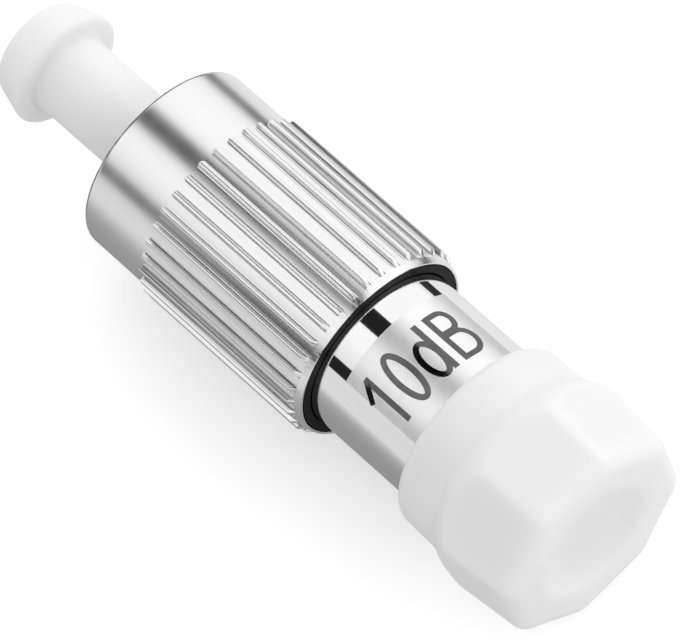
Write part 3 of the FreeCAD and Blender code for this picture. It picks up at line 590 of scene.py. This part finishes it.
def nut_outline():
    """The nut's outline as (x, radius, ribbed): front face, collar, knurl, rear face and bore."""
    collar = rounded_outline([
        (nut_start, THREAD_BORE + THREAD_LEAD),
        (nut_start, COLLAR_RADIUS, 0.22),
        (KNURL_START, COLLAR_RADIUS),
    ])
    knurl = [(KNURL_START, KNURL_RADIUS - 0.05)]
    knurl += [(KNURL_START + 0.05, KNURL_RADIUS), (KNURL_START + 0.1, KNURL_RADIUS)]
    knurl += [(KNURL_START + (KNURL_END - KNURL_START) * k / 8, KNURL_RADIUS) for k in range(1, 8)]
    knurl += [(KNURL_END - 0.03, KNURL_RADIUS), (KNURL_END, KNURL_RADIUS - 0.01)]
    knurl.append((RIM_START - 0.01, ROOT_RADIUS + 0.01))
    rear = [
        (RIM_START, ROOT_RADIUS), (nut_stop - 0.04, RIM_OUTER + 0.028), (nut_stop, RIM_OUTER),
        (nut_stop, RIM_INNER), (nut_stop - 0.03, SEAT_RADIUS), (SEAT_START, SEAT_RADIUS),
        (SEAT_START, RUNNING_BORE), (LIP_END, RUNNING_BORE),
        (LIP_END, LIP_BORE), (LIP_START, LIP_BORE),
        (LIP_START, RELIEF_BORE), (NUT_THREAD_END, RELIEF_BORE),
    ]
    rear += thread_rows(NUT_THREAD_END, nut_start + THREAD_LEAD, THREAD_BORE)
    parts = ((collar, False), (knurl, True), (rear, False))
    return [(x, radius, ribbed) for part, ribbed in parts for x, radius in part]


def nut_slice():
    """One slice, open at its two sides, drawn about the X axis."""
    build = bmesh.new()
    columns = []
    for x, radius, ribbed in nut_outline():
        row = []
        for angle in SLICE_ANGLES:
            reach = min(radius, rib_radius(angle)) if ribbed else radius
            spot = Vector((x, reach * math.sin(angle), reach * math.cos(angle))) * MM
            row.append(build.verts.new(spot))
        columns.append(row)
    for this, after in zip(columns, columns[1:] + columns[:1]):
        bridge(build, this, after, closed=False)
    return plain_object("coupling_nut_knurled", build)


nut = nut_slice()
print("one slice:", len(nut.data.polygons), "faces")

# %% Set the slice round the axis
def ring_tree():
    tree, given = start_tree("slices_round_the_axis", {
        "Slice": "Geometry", "Count": "Int", "First Angle": "Float", "Axis Height": "Float",
        "Seam": "Float", "Material": "Material"})
    spots = tree.nodes.new("GeometryNodePoints")
    lift = tree.nodes.new("ShaderNodeCombineXYZ")
    index = tree.nodes.new("GeometryNodeInputIndex")
    spin = tree.nodes.new("ShaderNodeCombineXYZ")
    place = tree.nodes.new("GeometryNodeInstanceOnPoints")
    step = calc("DIVIDE", 2 * math.pi, given["Count"])
    turned_by = calc("MULTIPLY", index.outputs["Index"], step)
    wire((given["Count"], spots.inputs["Count"]),
         (given["Axis Height"], lift.inputs["Z"]),
         (lift.outputs["Vector"], spots.inputs["Position"]),
         (calc("ADD", turned_by, given["First Angle"]), spin.inputs["X"]),
         (spots.outputs[0], place.inputs["Points"]),
         (given["Slice"], place.inputs["Instance"]),
         (spin.outputs["Vector"], place.inputs["Rotation"]))
    return finish_tree(tree, place.outputs["Instances"], given["Material"], seam=given["Seam"])


apply_tree(nut, ring_tree(), {
    "Count": RIBS,
    "First Angle": -RIB_PHASE,
    "Axis Height": AXIS_HEIGHT * MM,
    "Seam": 0.001 * MM,
    "Material": knurl_nickel,
})
cut_thread(nut, THREAD_DEPTH, nut_start + 0.3, NUT_THREAD_END - 0.02, 0.4, (3.5, 3.7), knurl_nickel)
print("nut:", len(nut.data.polygons), "faces after", RIBS, "slices")

# %% Close and shade the nut
WELD = 0.0005
SHARP_ABOVE = 34.0


def close_and_shade(piece):
    """Faces outwards, edges sharp only where they really are. Returns the number of open edges."""
    build = bmesh.new()
    build.from_mesh(piece.data)
    bmesh.ops.remove_doubles(build, verts=build.verts, dist=WELD * MM)
    bmesh.ops.recalc_face_normals(build, faces=build.faces)
    open_edges = sum(1 for edge in build.edges if len(edge.link_faces) != 2)
    build.to_mesh(piece.data)
    build.free()
    shade(piece.data, SHARP_ABOVE)
    return open_edges


FLANK_INNER = 0.134
FLANK_OUTER = 0.162
FLANK_FOOT = 4.7
CHAMFER_LENGTH = 0.16
CHAMFER_FOOT = 4.6


def paint_corner_shade(piece):
    """Give the rib flanks painted shade and the front chamfer a painted dark reflection, by a second
    material.
    """
    piece.data.materials.append(corner_shade_nickel)
    changed = 0
    for face in piece.data.polygons:
        across, up = face.center.y / MM, face.center.z / MM - AXIS_HEIGHT
        place = face.center.x / MM
        radius = math.hypot(across, up)
        turn = (math.atan2(across, up) - RIB_PHASE + SLICE / 2) % SLICE - SLICE / 2
        side = abs(turn) * KNURL_RADIUS
        along_rib = KNURL_START + 0.06 < place < nut_stop - 0.4
        on_flank = along_rib and radius > FLANK_FOOT and FLANK_INNER < side < FLANK_OUTER
        on_chamfer = place < nut_start + CHAMFER_LENGTH and radius > CHAMFER_FOOT
        if on_flank or on_chamfer:
            face.material_index = 1
            changed += 1
    return changed


print("open edges on the nut:", close_and_shade(nut))
# Counts the faces that carry the painted shade and painted dark reflection.
print("faces with painted shade on the nut:", paint_corner_shade(nut))
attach(nut, "nut")
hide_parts("coupling_nut")

# %% [markdown]
# ## The black ring
# A black ring fills the gap between the nut's rear mouth and the barrel. It slides with the nut.
# It is turned plastic with a satin face, which is all that shows, and its near-black also paints the shade
# deep in the gap.

# %% Black ring
# Near-black satin plastic, which also stands in for painted shade in the gap behind the ring.
def black_plastic_and_gap_shade():
    material, shader = start_material("black_ring_plastic_and_gap_shade", even(0.008), 0.55)
    set_inputs(shader, {"Specular IOR Level": 0.15})
    grain = stretched_noise(shader, even(2600.0), detail=3.0)
    vary_gloss(shader, grain, 0.5, 0.62)
    tint(shader, stretched_noise(shader, even(300.0)), even(0.006), even(0.010))
    relief(shader, grain, 0.001)
    return material


RING_BORE = 4.1
RING_RADIUS = 4.499
RING_EDGE = 0.012
ring_start, ring_stop = ends("slip_ring")
black_ring = turned("black_slip_ring", rounded_outline([
    (ring_start, RING_BORE), (ring_start, RING_RADIUS),
    (ring_stop, RING_RADIUS, RING_EDGE), (ring_stop, RING_BORE, RING_EDGE)]))
black_ring.data.materials.append(black_plastic_and_gap_shade())
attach(black_ring, "ring")
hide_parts("slip_ring")
print("ring:", len(black_ring.data.polygons), "faces")

# %% [markdown]
# ## The barrel and its threaded tube
# The barrel is one turned piece: a polished shank, a relief, and the threaded tube with a keyway
# milled through its wall at the top. The shank and tube come from one outline, the thread from the
# tree above, and the keyway is taken out with a box, as the milling cutter does.

# %% Turn the barrel and cut its thread
body_start, tube_end = ends("receptacle_body")
thread_start = tube_end - 5.7
thread_from = thread_start + 0.45
shank_end = thread_start - 0.6
wide_bore_start = tube_end - 5.4
seat_end = body_start + 5.2
BARREL_RADIUS = 4.05
THREAD_RADIUS = 3.99
NECK_RADIUS = 3.55
NOSE_RADIUS = 3.7
PLUG_BORE = 3.0
TUBE_BORE = 3.05
SLEEVE_BORE = 2.35
barrel_rows = rounded_outline([
    (body_start, PLUG_BORE),
    (body_start, BARREL_RADIUS, 0.2),
    (shank_end, BARREL_RADIUS, 0.08),
    (shank_end, NECK_RADIUS, 0.05),
    (thread_start, NECK_RADIUS),
])
barrel_rows += thread_rows(thread_from, tube_end - 0.3, THREAD_RADIUS)
barrel_rows += [
    (tube_end, NOSE_RADIUS), (tube_end, TUBE_BORE),
    (wide_bore_start, TUBE_BORE), (wide_bore_start, SLEEVE_BORE),
    (seat_end, SLEEVE_BORE), (seat_end, PLUG_BORE),
]
barrel = turned("barrel_with_thread", barrel_rows)
cut_thread(barrel, -THREAD_DEPTH, thread_from, tube_end - 0.1, 0.3, (3.9, 4.02), body_nickel)
print("barrel:", len(barrel.data.polygons), "faces")

# %% Mill the keyway
KEYWAY_LENGTH = 5.0
KEYWAY_WIDTH = 2.1
KEYWAY_FLOOR = 2.4


def block(name, low, high):
    """A plain closed block between two corners, in millimetres, used only as a cutter."""
    build = bmesh.new()
    bmesh.ops.create_cube(build, size=1.0)
    for vertex in build.verts:
        vertex.co = Vector([(low[i] + (high[i] - low[i]) * (vertex.co[i] + 0.5)) * MM for i in range(3)])
    return plain_object(name, build)


keyway_cutter = block(
    "keyway_cutter",
    (tube_end - KEYWAY_LENGTH, -KEYWAY_WIDTH / 2, AXIS_HEIGHT + KEYWAY_FLOOR),
    (tube_end + 0.5, KEYWAY_WIDTH / 2, AXIS_HEIGHT + 5.0))
milling = barrel.modifiers.new("keyway", "BOOLEAN")
milling.operation = "DIFFERENCE"
milling.solver = "EXACT"
milling.object = keyway_cutter
milled = bpy.data.meshes.new_from_object(barrel.evaluated_get(bpy.context.evaluated_depsgraph_get()))
barrel.modifiers.clear()
barrel.data = milled
bpy.data.objects.remove(keyway_cutter)
print("open edges on the barrel:", close_and_shade(barrel))
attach(barrel, "base")
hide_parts("receptacle_body")

# %% [markdown]
# ## The silver film with its value
# A thin silver film is stuck round the top of the barrel. It is metal-coated, but satin, so it
# mirrors the room only as a blur, and that blur is what tells it from the polished barrel. Its value
# is printed in dark glossy ink. The letters are single strokes of one width, straight or part of an
# ellipse, drawn flat and then bent round the barrel.

# %% Satin film
def silver_film():
    material, shader = start_material("satin_silver_film", even(0.98), 0.42, metallic=1.0)
    grain = stretched_noise(shader, even(3000.0), detail=3.0)
    vary_gloss(shader, grain, 0.39, 0.45)
    vary_colour(shader, even(250.0), even(0.99), (0.97, 0.97, 0.968))
    relief(shader, grain, 0.0008)
    return material


FILM_RADIUS = 4.1
FILM_MIDDLE = math.radians(5.0)
FILM_ARC = math.radians(90.0)
FILM_STEPS = 72
film_start, film_stop = ends("value_label")


def bent_film():
    """The film as a thin closed shell bent round the barrel."""
    build = bmesh.new()
    loops = []
    for k in range(FILM_STEPS + 1):
        angle = FILM_MIDDLE + FILM_ARC * (k / FILM_STEPS - 0.5)
        section = [(film_start, BARREL_RADIUS), (film_start, FILM_RADIUS)]
        section += [(film_stop, FILM_RADIUS), (film_stop, BARREL_RADIUS)]
        loops.append([build.verts.new(axis_point(x, radius, angle)) for x, radius in section])
    for this, after in zip(loops, loops[1:]):
        bridge(build, this, after)
    build.faces.new(loops[0])
    build.faces.new(loops[-1])
    return shaded_object("value_film", build)


film = bent_film()
film.data.materials.append(silver_film())
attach(film, "base")
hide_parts("value_label")
print("film:", len(film.data.polygons), "faces")

# %% The printed value
PRINT_TOP = 6.62
PRINT_BOTTOM = 9.45
STROKE = 0.28
INK_TOP = FILM_RADIUS + 0.003
INK_FOOT = FILM_RADIUS - 0.002
INK_STEP = 0.0004


def arc_points(middle, reach, start, stop, steps=20):
    """Points of an ellipse round a middle, as (round the barrel, along it), angles in degrees."""
    points = []
    for k in range(steps + 1):
        angle = math.radians(start + (stop - start) * k / steps)
        points.append((middle[0] + reach[0] * math.cos(angle), middle[1] + reach[1] * math.sin(angle)))
    return points


def line_points(first, last, steps=12):
    return [tuple(a + (b - a) * k / steps for a, b in zip(first, last)) for k in range(steps + 1)]


def bowl_points(spine, straight, reach, top, bottom):
    """One bowl of a capital letter, from its spine out round a half ellipse and back."""
    half = (bottom - top) / 2
    points = line_points((spine, top), (straight, top), 6)
    points += arc_points((straight, top + half), (reach, half), -90, 90)
    return points + line_points((straight, bottom), (spine, bottom), 6)[1:]


LETTER_STROKES = [
    line_points((-2.2, PRINT_TOP), (-2.2, PRINT_BOTTOM)),
    line_points((-2.22, PRINT_TOP + 0.12), (-2.86, PRINT_TOP + 0.98)),
    arc_points((-0.93, 8.09), (0.44, 1.34), 0, 360, 48),
    arc_points((0.42, 8.42), (0.44, 0.96), 0, 360, 40),
    line_points((0.90, PRINT_TOP), (0.92, PRINT_BOTTOM)),
    line_points((1.54, PRINT_TOP), (1.56, PRINT_BOTTOM)),
    bowl_points(1.54, 2.12, 0.46, PRINT_TOP + 0.12, PRINT_TOP + 1.2),
    bowl_points(1.54, 2.16, 0.60, PRINT_TOP + 1.32, PRINT_BOTTOM - 0.13),
]


def stroke_outline(path, width):
    """The left and right edges of a stroke along its path."""
    closed = math.dist(path[0], path[-1]) < 1e-6
    points = path[:-1] if closed else path
    count = len(points)
    sides = []
    for k, point in enumerate(points):
        back = points[k - 1] if closed or k > 0 else point
        ahead = points[(k + 1) % count] if closed or k < count - 1 else point
        way = Vector((ahead[0] - back[0], ahead[1] - back[1])).normalized()
        normal = Vector((-way.y, way.x)) * width / 2
        sides.append((Vector(point) + normal, Vector(point) - normal))
    return sides, closed


def printed_value(strokes):
    """Strokes bent round the film, with the tops of the letters towards the nut."""
    build = bmesh.new()
    for level, path in enumerate(strokes):
        sides, closed = stroke_outline(path, STROKE)
        top = INK_TOP + INK_STEP * level
        loops = []
        for left, right in sides:
            section = [(left, INK_FOOT), (left, top), (right, top), (right, INK_FOOT)]
            loops.append([build.verts.new(axis_point(spot[1], radius, spot[0] / FILM_RADIUS))
                          for spot, radius in section])
        following = loops[1:] + loops[:1] if closed else loops[1:]
        for this, after in zip(loops, following):
            bridge(build, this, after)
        if not closed:
            build.faces.new(loops[0])
            build.faces.new(loops[-1])
    return shaded_object("printed_value", build)


def print_ink():
    material, shader = start_material("dark_print_ink", (0.14, 0.14, 0.142), 0.16, metallic=1.0)
    grain = stretched_noise(shader, even(5000.0), detail=3.0)
    vary_gloss(shader, grain, 0.10, 0.18)
    tint(shader, ramp_between(grain, 0.0, 1.0), (0.12, 0.12, 0.122), (0.16, 0.16, 0.162))
    relief(shader, grain, 0.0001)
    return material


value_print = printed_value(LETTER_STROKES)
value_print.data.materials.append(print_ink())
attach(value_print, "base")
print("printed value:", len(LETTER_STROKES), "strokes,", round(PRINT_BOTTOM - PRINT_TOP, 2), "mm high")

# %% [markdown]
# ## The large dust cap
# The cap pushes over the threaded tube. A round skirt grows into an eight-sided grip that narrows a
# little towards its end, and the flat end has a shallow dish left by the mould. The form follows a
# rule: at each place the outside is the smaller of an octagon and a cone, blended as softly as
# moulded plastic is, so each row of the mesh is that radius worked out for every angle.

# %% The grip's rule
cap_mouth, cap_end = ends("receptacle_cap")
SKIRT_RADIUS = 4.75
SKIRT_END = cap_mouth + 2.55
SKIRT_END_RADIUS = 4.85
SHOULDER_LENGTH = 1.3
MOUTH_ROUND = 0.5
FLATS = 10.42
FLAT_TAPER = math.tan(math.radians(4.6))
CORNER_ROUND = 0.9
EIGHTH = math.pi / 4


def octagon_radius(x, angle):
    """The distance from the axis to a tapered octagon with round corners and a flat at the bottom."""
    apothem = FLATS / 2 - (x - SKIRT_END) * FLAT_TAPER
    from_flat = (angle + EIGHTH / 2) % EIGHTH - EIGHTH / 2
    corner = (apothem - CORNER_ROUND) / math.cos(EIGHTH / 2)
    from_corner = EIGHTH / 2 - abs(from_flat)
    tangent_from_corner = EIGHTH / 2 - math.atan2(corner * math.sin(EIGHTH / 2), apothem)
    if from_corner < tangent_from_corner:
        across = corner * math.sin(from_corner)
        return corner * math.cos(from_corner) + math.sqrt(CORNER_ROUND ** 2 - across ** 2)
    return apothem / math.cos(from_flat)


def soft_least(first, second, blend):
    """The smaller of two values, rounded where they cross."""
    share = max(blend - abs(first - second), 0.0) / blend
    return min(first, second) - share * share * blend / 4


SHOULDER_RADIUS = (FLATS / 2 - SHOULDER_LENGTH * FLAT_TAPER) / math.cos(EIGHTH / 2)


def grip_radius(x, angle):
    """The cap's outside between the skirt and the end."""
    cone = SKIRT_END_RADIUS + (SHOULDER_RADIUS - SKIRT_END_RADIUS) * (x - SKIRT_END) / SHOULDER_LENGTH
    return soft_least(octagon_radius(x, angle), cone, 0.12)


# %% Rows of the cap from mouth to end, then the dish and the bore
CAP_STEPS = 384
END_ROUND = 0.75
FACE_RADIUS = 3.0
DISH_RADIUS = 2.8
DISH_DEPTH = 0.45
DISH_SHARES = (1.0, 0.99, 0.97, 0.94, 0.9, 0.85, 0.8, 0.74, 0.67, 0.6, 0.5, 0.4, 0.28, 0.15)
MOUTH_BORE = 4.2
CAP_BORE = 4.02
END_WALL = 1.0


def skirt_radius(x):
    return SKIRT_RADIUS + (SKIRT_END_RADIUS - SKIRT_RADIUS) * (x - cap_mouth) / (SKIRT_END - cap_mouth)


def cap_rows():
    """Each row is a list of (x, radius), one for each angle round the cap."""
    angles = [2 * math.pi * k / CAP_STEPS for k in range(CAP_STEPS)]
    rows = []
    for k in range(11):
        swing = math.pi / 2 * k / 10
        x = cap_mouth + MOUTH_ROUND * (1 - math.sin(swing))
        radius = skirt_radius(cap_mouth + MOUTH_ROUND) - MOUTH_ROUND * (1 - math.cos(swing))
        rows.append([(x, radius)] * CAP_STEPS)
    rows.reverse()
    first, last = cap_mouth + MOUTH_ROUND + 0.04, SKIRT_END - 0.1
    for x in [first + (last - first) * k / 6 for k in range(7)]:
        rows.append([(x, skirt_radius(x))] * CAP_STEPS)
    blend_end = SKIRT_END + SHOULDER_LENGTH + 0.3
    for k in range(1, 41):
        x = SKIRT_END + (blend_end - SKIRT_END) * k / 40
        rows.append([(x, grip_radius(x, angle)) for angle in angles])
    straight_end = cap_end - END_ROUND
    for k in range(1, 9):
        x = blend_end + (straight_end - 0.03 - blend_end) * k / 8
        rows.append([(x, grip_radius(x, angle)) for angle in angles])
    for k in range(9):
        swing = math.pi / 2 * k / 8
        x = straight_end + END_ROUND * math.sin(swing)
        inset = END_ROUND * (1 - math.cos(swing))
        rows.append([(x, grip_radius(straight_end, angle) - inset) for angle in angles])
    for share in (0.95, 0.6, 0.3):
        reach = [grip_radius(straight_end, angle) - END_ROUND - FACE_RADIUS for angle in angles]
        rows.append([(cap_end, FACE_RADIUS + length * share) for length in reach])
    for share in DISH_SHARES:
        rows.append([(cap_end - DISH_DEPTH * (1 - share ** 4), DISH_RADIUS * share)] * CAP_STEPS)
    return rows


def push_on_cap():
    build = bmesh.new()
    inside = rounded_outline([
        (cap_mouth, MOUTH_BORE), (cap_mouth + 0.9, MOUTH_BORE), (cap_mouth + 0.98, CAP_BORE),
        (cap_end - END_WALL, CAP_BORE, 0.3), (cap_end - END_WALL, 0.6)])
    rows = [[point] * CAP_STEPS for point in reversed(inside)] + cap_rows()
    rings = [spin_row(build, row) for row in rows]
    for this, after in zip(rings, rings[1:]):
        bridge(build, this, after)
    for ring in (rings[0], rings[-1]):
        hub = build.verts.new(sum((vertex.co for vertex in ring), Vector()) / len(ring))
        bridge(build, ring, [hub])
    return shaded_object("threaded_end_dust_cap", build, 40.0)


large_cap = push_on_cap()
large_cap.data.materials.append(large_cap_white)
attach(large_cap, "large_cap")
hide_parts("receptacle_cap")
print("large cap:", len(large_cap.data.polygons), "faces")

# %% [markdown]
# ## Pieces that stay as solids
# Inside are the plug frame, the ferrule with its doped fibre, the holder, spring and stop, the
# alignment sleeve and its holder. Their solids already have the right shape, so they only need
# their finishes: bright nickel, fine white ceramic, turned brass and steel, and glass.

# %% Ceramic, brass, steel and glass
def zirconia(name, colour):
    material, shader = start_material(name, colour, 0.14)
    set_inputs(shader, {"Subsurface Weight": 0.2, "Subsurface Radius": (1.0, 0.95, 0.85),
                        "Subsurface Scale": 0.2 * MM, "IOR": 2.1})
    cream = tuple(channel * share for channel, share in zip(colour, (1.0, 0.985, 0.95)))
    vary_colour(shader, even(400.0), colour, cream)
    grind = stretched_noise(shader, (9000.0, 300.0, 300.0))
    vary_gloss(shader, grind, 0.10, 0.20)
    relief(shader, grind, 0.0002)
    return material


def turned_metal(name, colour, roughness, grain, height):
    material, shader = start_material(name, colour, roughness, metallic=1.0)
    marks = stretched_noise(shader, grain, detail=3.0)
    vary_gloss(shader, marks, roughness - 0.06, roughness + 0.08)
    vary_colour(shader, even(300.0), colour, darker(colour, 0.9))
    relief(shader, marks, height)
    return material


def doped_silica():
    material, shader = start_material("doped_silica", (0.90, 0.94, 0.96), 0.05)
    set_inputs(shader, {"Transmission Weight": 0.85, "IOR": 1.46})
    vary_gloss(shader, stretched_noise(shader, even(2000.0)), 0.03, 0.08)
    return material


holder_steel = turned_metal("turned_holder_steel", (0.60, 0.60, 0.61), 0.26, (14000.0, 200.0, 200.0), 0.0005)
spring_wire = turned_metal("drawn_spring_wire", (0.56, 0.56, 0.57), 0.22, even(4000.0), 0.0004)
brass = turned_metal("turned_brass", (0.80, 0.62, 0.32), 0.28, (14000.0, 900.0, 900.0), 0.0006)
inner_finishes = {
    "plug_frame": inner_nickel,
    "sleeve_holder": inner_nickel,
    "ferrule": zirconia("zirconia_ferrule", (0.90, 0.895, 0.87)),
    "split_sleeve": zirconia("zirconia_sleeve", (0.88, 0.875, 0.84)),
    "doped_fibre": doped_silica(),
    "ferrule_holder": holder_steel,
    "ferrule_spring": spring_wire,
    "spring_stop": brass,
}
for node, finish in inner_finishes.items():
    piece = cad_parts[node]
    piece.data.materials.clear()
    piece.data.materials.append(finish)
print("finished", len(inner_finishes), "inner solids")

# %% [markdown]
# ## Table, room and lamp
# The table is a plain pale sheet, white to the camera but for the object's soft shadow. The room is
# white too. On plain surfaces its light is stronger from the +Y side, where a soft lamp helps it,
# and in mirrors it turns a little grey far round the other side. White alone makes polished metal
# look like paper, so a studio puts long black cards beside the object: the metal shows them as dark
# bands, and that is what reads as polish. Here two cards hang and a third lies on the table. Across
# from it lies a glowing sheet whose glow fades towards the object, a painted shadow of the object on
# the table. All four are seen only in mirrors.

# %% Table
TABLE_REACH = 1.5
TABLE_GLOW = 0.36


def flat_sheet(name, first, last, reach):
    """A flat sheet between two edges along X, each given by its middle point."""
    along = Vector((reach, 0.0, 0.0))
    build = bmesh.new()
    corners = [first - along, first + along, last + along, last - along]
    build.faces.new([build.verts.new(corner) for corner in corners])
    return plain_object(name, build)


def pale_surface():
    """Matt and pale, with a glow for the camera alone that keeps it white in the picture."""
    material, shader = start_material("pale_table", even(0.92), 0.85)
    tree = material.node_tree
    rays = tree.nodes.new("ShaderNodeLightPath")
    glow = tree.nodes.new("ShaderNodeEmission")
    both = tree.nodes.new("ShaderNodeAddShader")
    strength = calc("MULTIPLY", rays.outputs["Is Camera Ray"], TABLE_GLOW)
    wire((strength, glow.inputs["Strength"]),
         (shader.outputs["BSDF"], both.inputs[0]),
         (glow.outputs["Emission"], both.inputs[1]),
         (both.outputs["Shader"], tree.nodes["Material Output"].inputs["Surface"]))
    return material


table_edge = Vector((0.0, TABLE_REACH, 0.0))
table = flat_sheet("table_top", -table_edge, table_edge, TABLE_REACH)
table.data.materials.append(pale_surface())
print("table:", 2 * TABLE_REACH, "m square")

# %% Room
ROOM_LIGHT = 0.86
ROOM_SWING = 0.31
MIRROR_DARKEST = 0.68
MIRROR_WHITE_FROM = -0.4


def white_room():
    world = bpy.data.worlds.new("white_room")
    bpy.context.scene.world = world
    world.use_nodes = True
    tree = world.node_tree
    room = tree.nodes["Background"]
    room.inputs["Color"].default_value = (1.0, 1.0, 1.0, 1.0)
    side = coordinate(tree, "Generated", "Y")
    plain = map_range(side, (-1.0, 1.0), (ROOM_LIGHT - ROOM_SWING, ROOM_LIGHT + ROOM_SWING))
    mirrored = map_range(side, (-1.0, MIRROR_WHITE_FROM), (MIRROR_DARKEST, 1.0))
    rays = tree.nodes.new("ShaderNodeLightPath").outputs
    seen = calc("MAXIMUM", rays["Is Camera Ray"], rays["Is Glossy Ray"])
    seen = calc("MAXIMUM", seen, rays["Is Transmission Ray"])
    wire((number_mix(seen, plain, mirrored), room.inputs["Strength"]))


white_room()
print("room ready")

# %% Lamp, black cards and a glowing sheet of painted shadow
CARD_REACH = 0.9
CARD_LIFT = 0.0004
SHADOW_FADE = (-0.045, -0.002)
SHADOW_GLOW = (0.74, 0.30)
LAMP_PLACE = (0.10, 0.42, 0.46)
LAMP_SIZE = 0.5
LAMP_POWER = 0.35


def soft_lamp(name, place, size, power):
    """A square lamp that faces the middle of the object."""
    lamp = bpy.data.lights.new(name, "AREA")
    lamp.shape = "RECTANGLE"
    lamp.size = size
    lamp.size_y = size
    lamp.energy = power
    holder = add_object(name, lamp)
    holder.location = place
    direction = Vector((0.0, 0.0, AXIS_HEIGHT * MM)) - holder.location
    holder.rotation_euler = direction.to_track_quat("-Z", "Y").to_euler()


def card_black(name):
    material, shader = start_material(name + "_black", even(0.012), 0.9)
    set_inputs(shader, {"Specular IOR Level": 0.1})
    return material


def glowing_shadow_sheet(name):
    """A glowing sheet, its glow weaker towards the object: a painted shadow of the object on the table."""
    material = bpy.data.materials.new(name + "_painted_shadow")
    material.use_nodes = True
    tree = material.node_tree
    fade = map_range(coordinate(tree, "Object", "Y"), SHADOW_FADE, SHADOW_GLOW)
    fade.node.interpolation_type = "SMOOTHERSTEP"
    glow = tree.nodes.new("ShaderNodeEmission")
    wire((fade, glow.inputs["Strength"]),
         (glow.outputs["Emission"], tree.nodes["Material Output"].inputs["Surface"]))
    return material


def mirror_only(card, material):
    """Only mirrors see a card: not the camera, nor the light that falls on plain surfaces."""
    card.data.materials.append(material)
    card.visible_camera = False
    card.visible_diffuse = False
    card.visible_transmission = False
    card.visible_shadow = False


def hanging_card(name, degrees_from_top, width_degrees, distance):
    """A long card along the axis, seen from it at an angle from the top towards +Y."""
    angle = math.radians(degrees_from_top)
    half = distance * math.tan(math.radians(width_degrees / 2))
    centre = Vector((0.0, distance * math.sin(angle), AXIS_HEIGHT * MM + distance * math.cos(angle)))
    side = Vector((0.0, math.cos(angle), -math.sin(angle))) * half
    mirror_only(flat_sheet(name, centre - side, centre + side, CARD_REACH), card_black(name))


def lying_card(name, near, far, material):
    """A long strip beside the object, just off the table."""
    near_edge, far_edge = Vector((0.0, near, CARD_LIFT)), Vector((0.0, far, CARD_LIFT))
    mirror_only(flat_sheet(name, near_edge, far_edge, CARD_REACH), material)


soft_lamp("window_lamp", LAMP_PLACE, LAMP_SIZE, LAMP_POWER)
hanging_card("card_above", 9.6, 24.0, 0.30)
hanging_card("card_left", -62.4, 16.0, 0.30)
lying_card("card_on_table", 0.022, 0.080, card_black("card_on_table"))
# A glowing sheet with a painted shadow, dimmer near the object, seen only in mirrors.
lying_card("painted_shadow_sheet", -0.30, -0.002, glowing_shadow_sheet("painted_shadow_sheet"))
print("one soft lamp, three black cards and a glowing sheet of painted shadow")

# %% [markdown]
# ## The camera
# The photograph looks down at the barrel from the receptacle end with a long lens, and the barrel
# runs from corner to corner. The camera's place and turn were worked out from the rims of the nut,
# and they are written as the camera's own right, up and back directions.

# %% Camera
CAMERA_PLACE = (159.671, -61.03, 336.157)
FOCAL_LENGTH = 453.2
right = Vector((0.6778, 0.7096, -0.1923)).normalized()
back = Vector((0.424, -0.1636, 0.8907)).normalized()
up = back.cross(right).normalized()
right = up.cross(back)
camera_data = bpy.data.cameras.new("photo_camera")
camera_data.sensor_fit = "HORIZONTAL"
camera_data.sensor_width = 36.0
camera_data.lens = FOCAL_LENGTH
camera_data.clip_start = 0.01
camera = add_object("photo_camera", camera_data)
turn = Matrix((right, up, back)).transposed().to_4x4()
camera.matrix_world = Matrix.Translation(Vector(CAMERA_PLACE) * MM) @ turn
bpy.context.scene.camera = camera
bpy.context.scene.view_settings.view_transform = "Standard"
print("camera at", [round(v / MM, 1) for v in camera.matrix_world.translation])
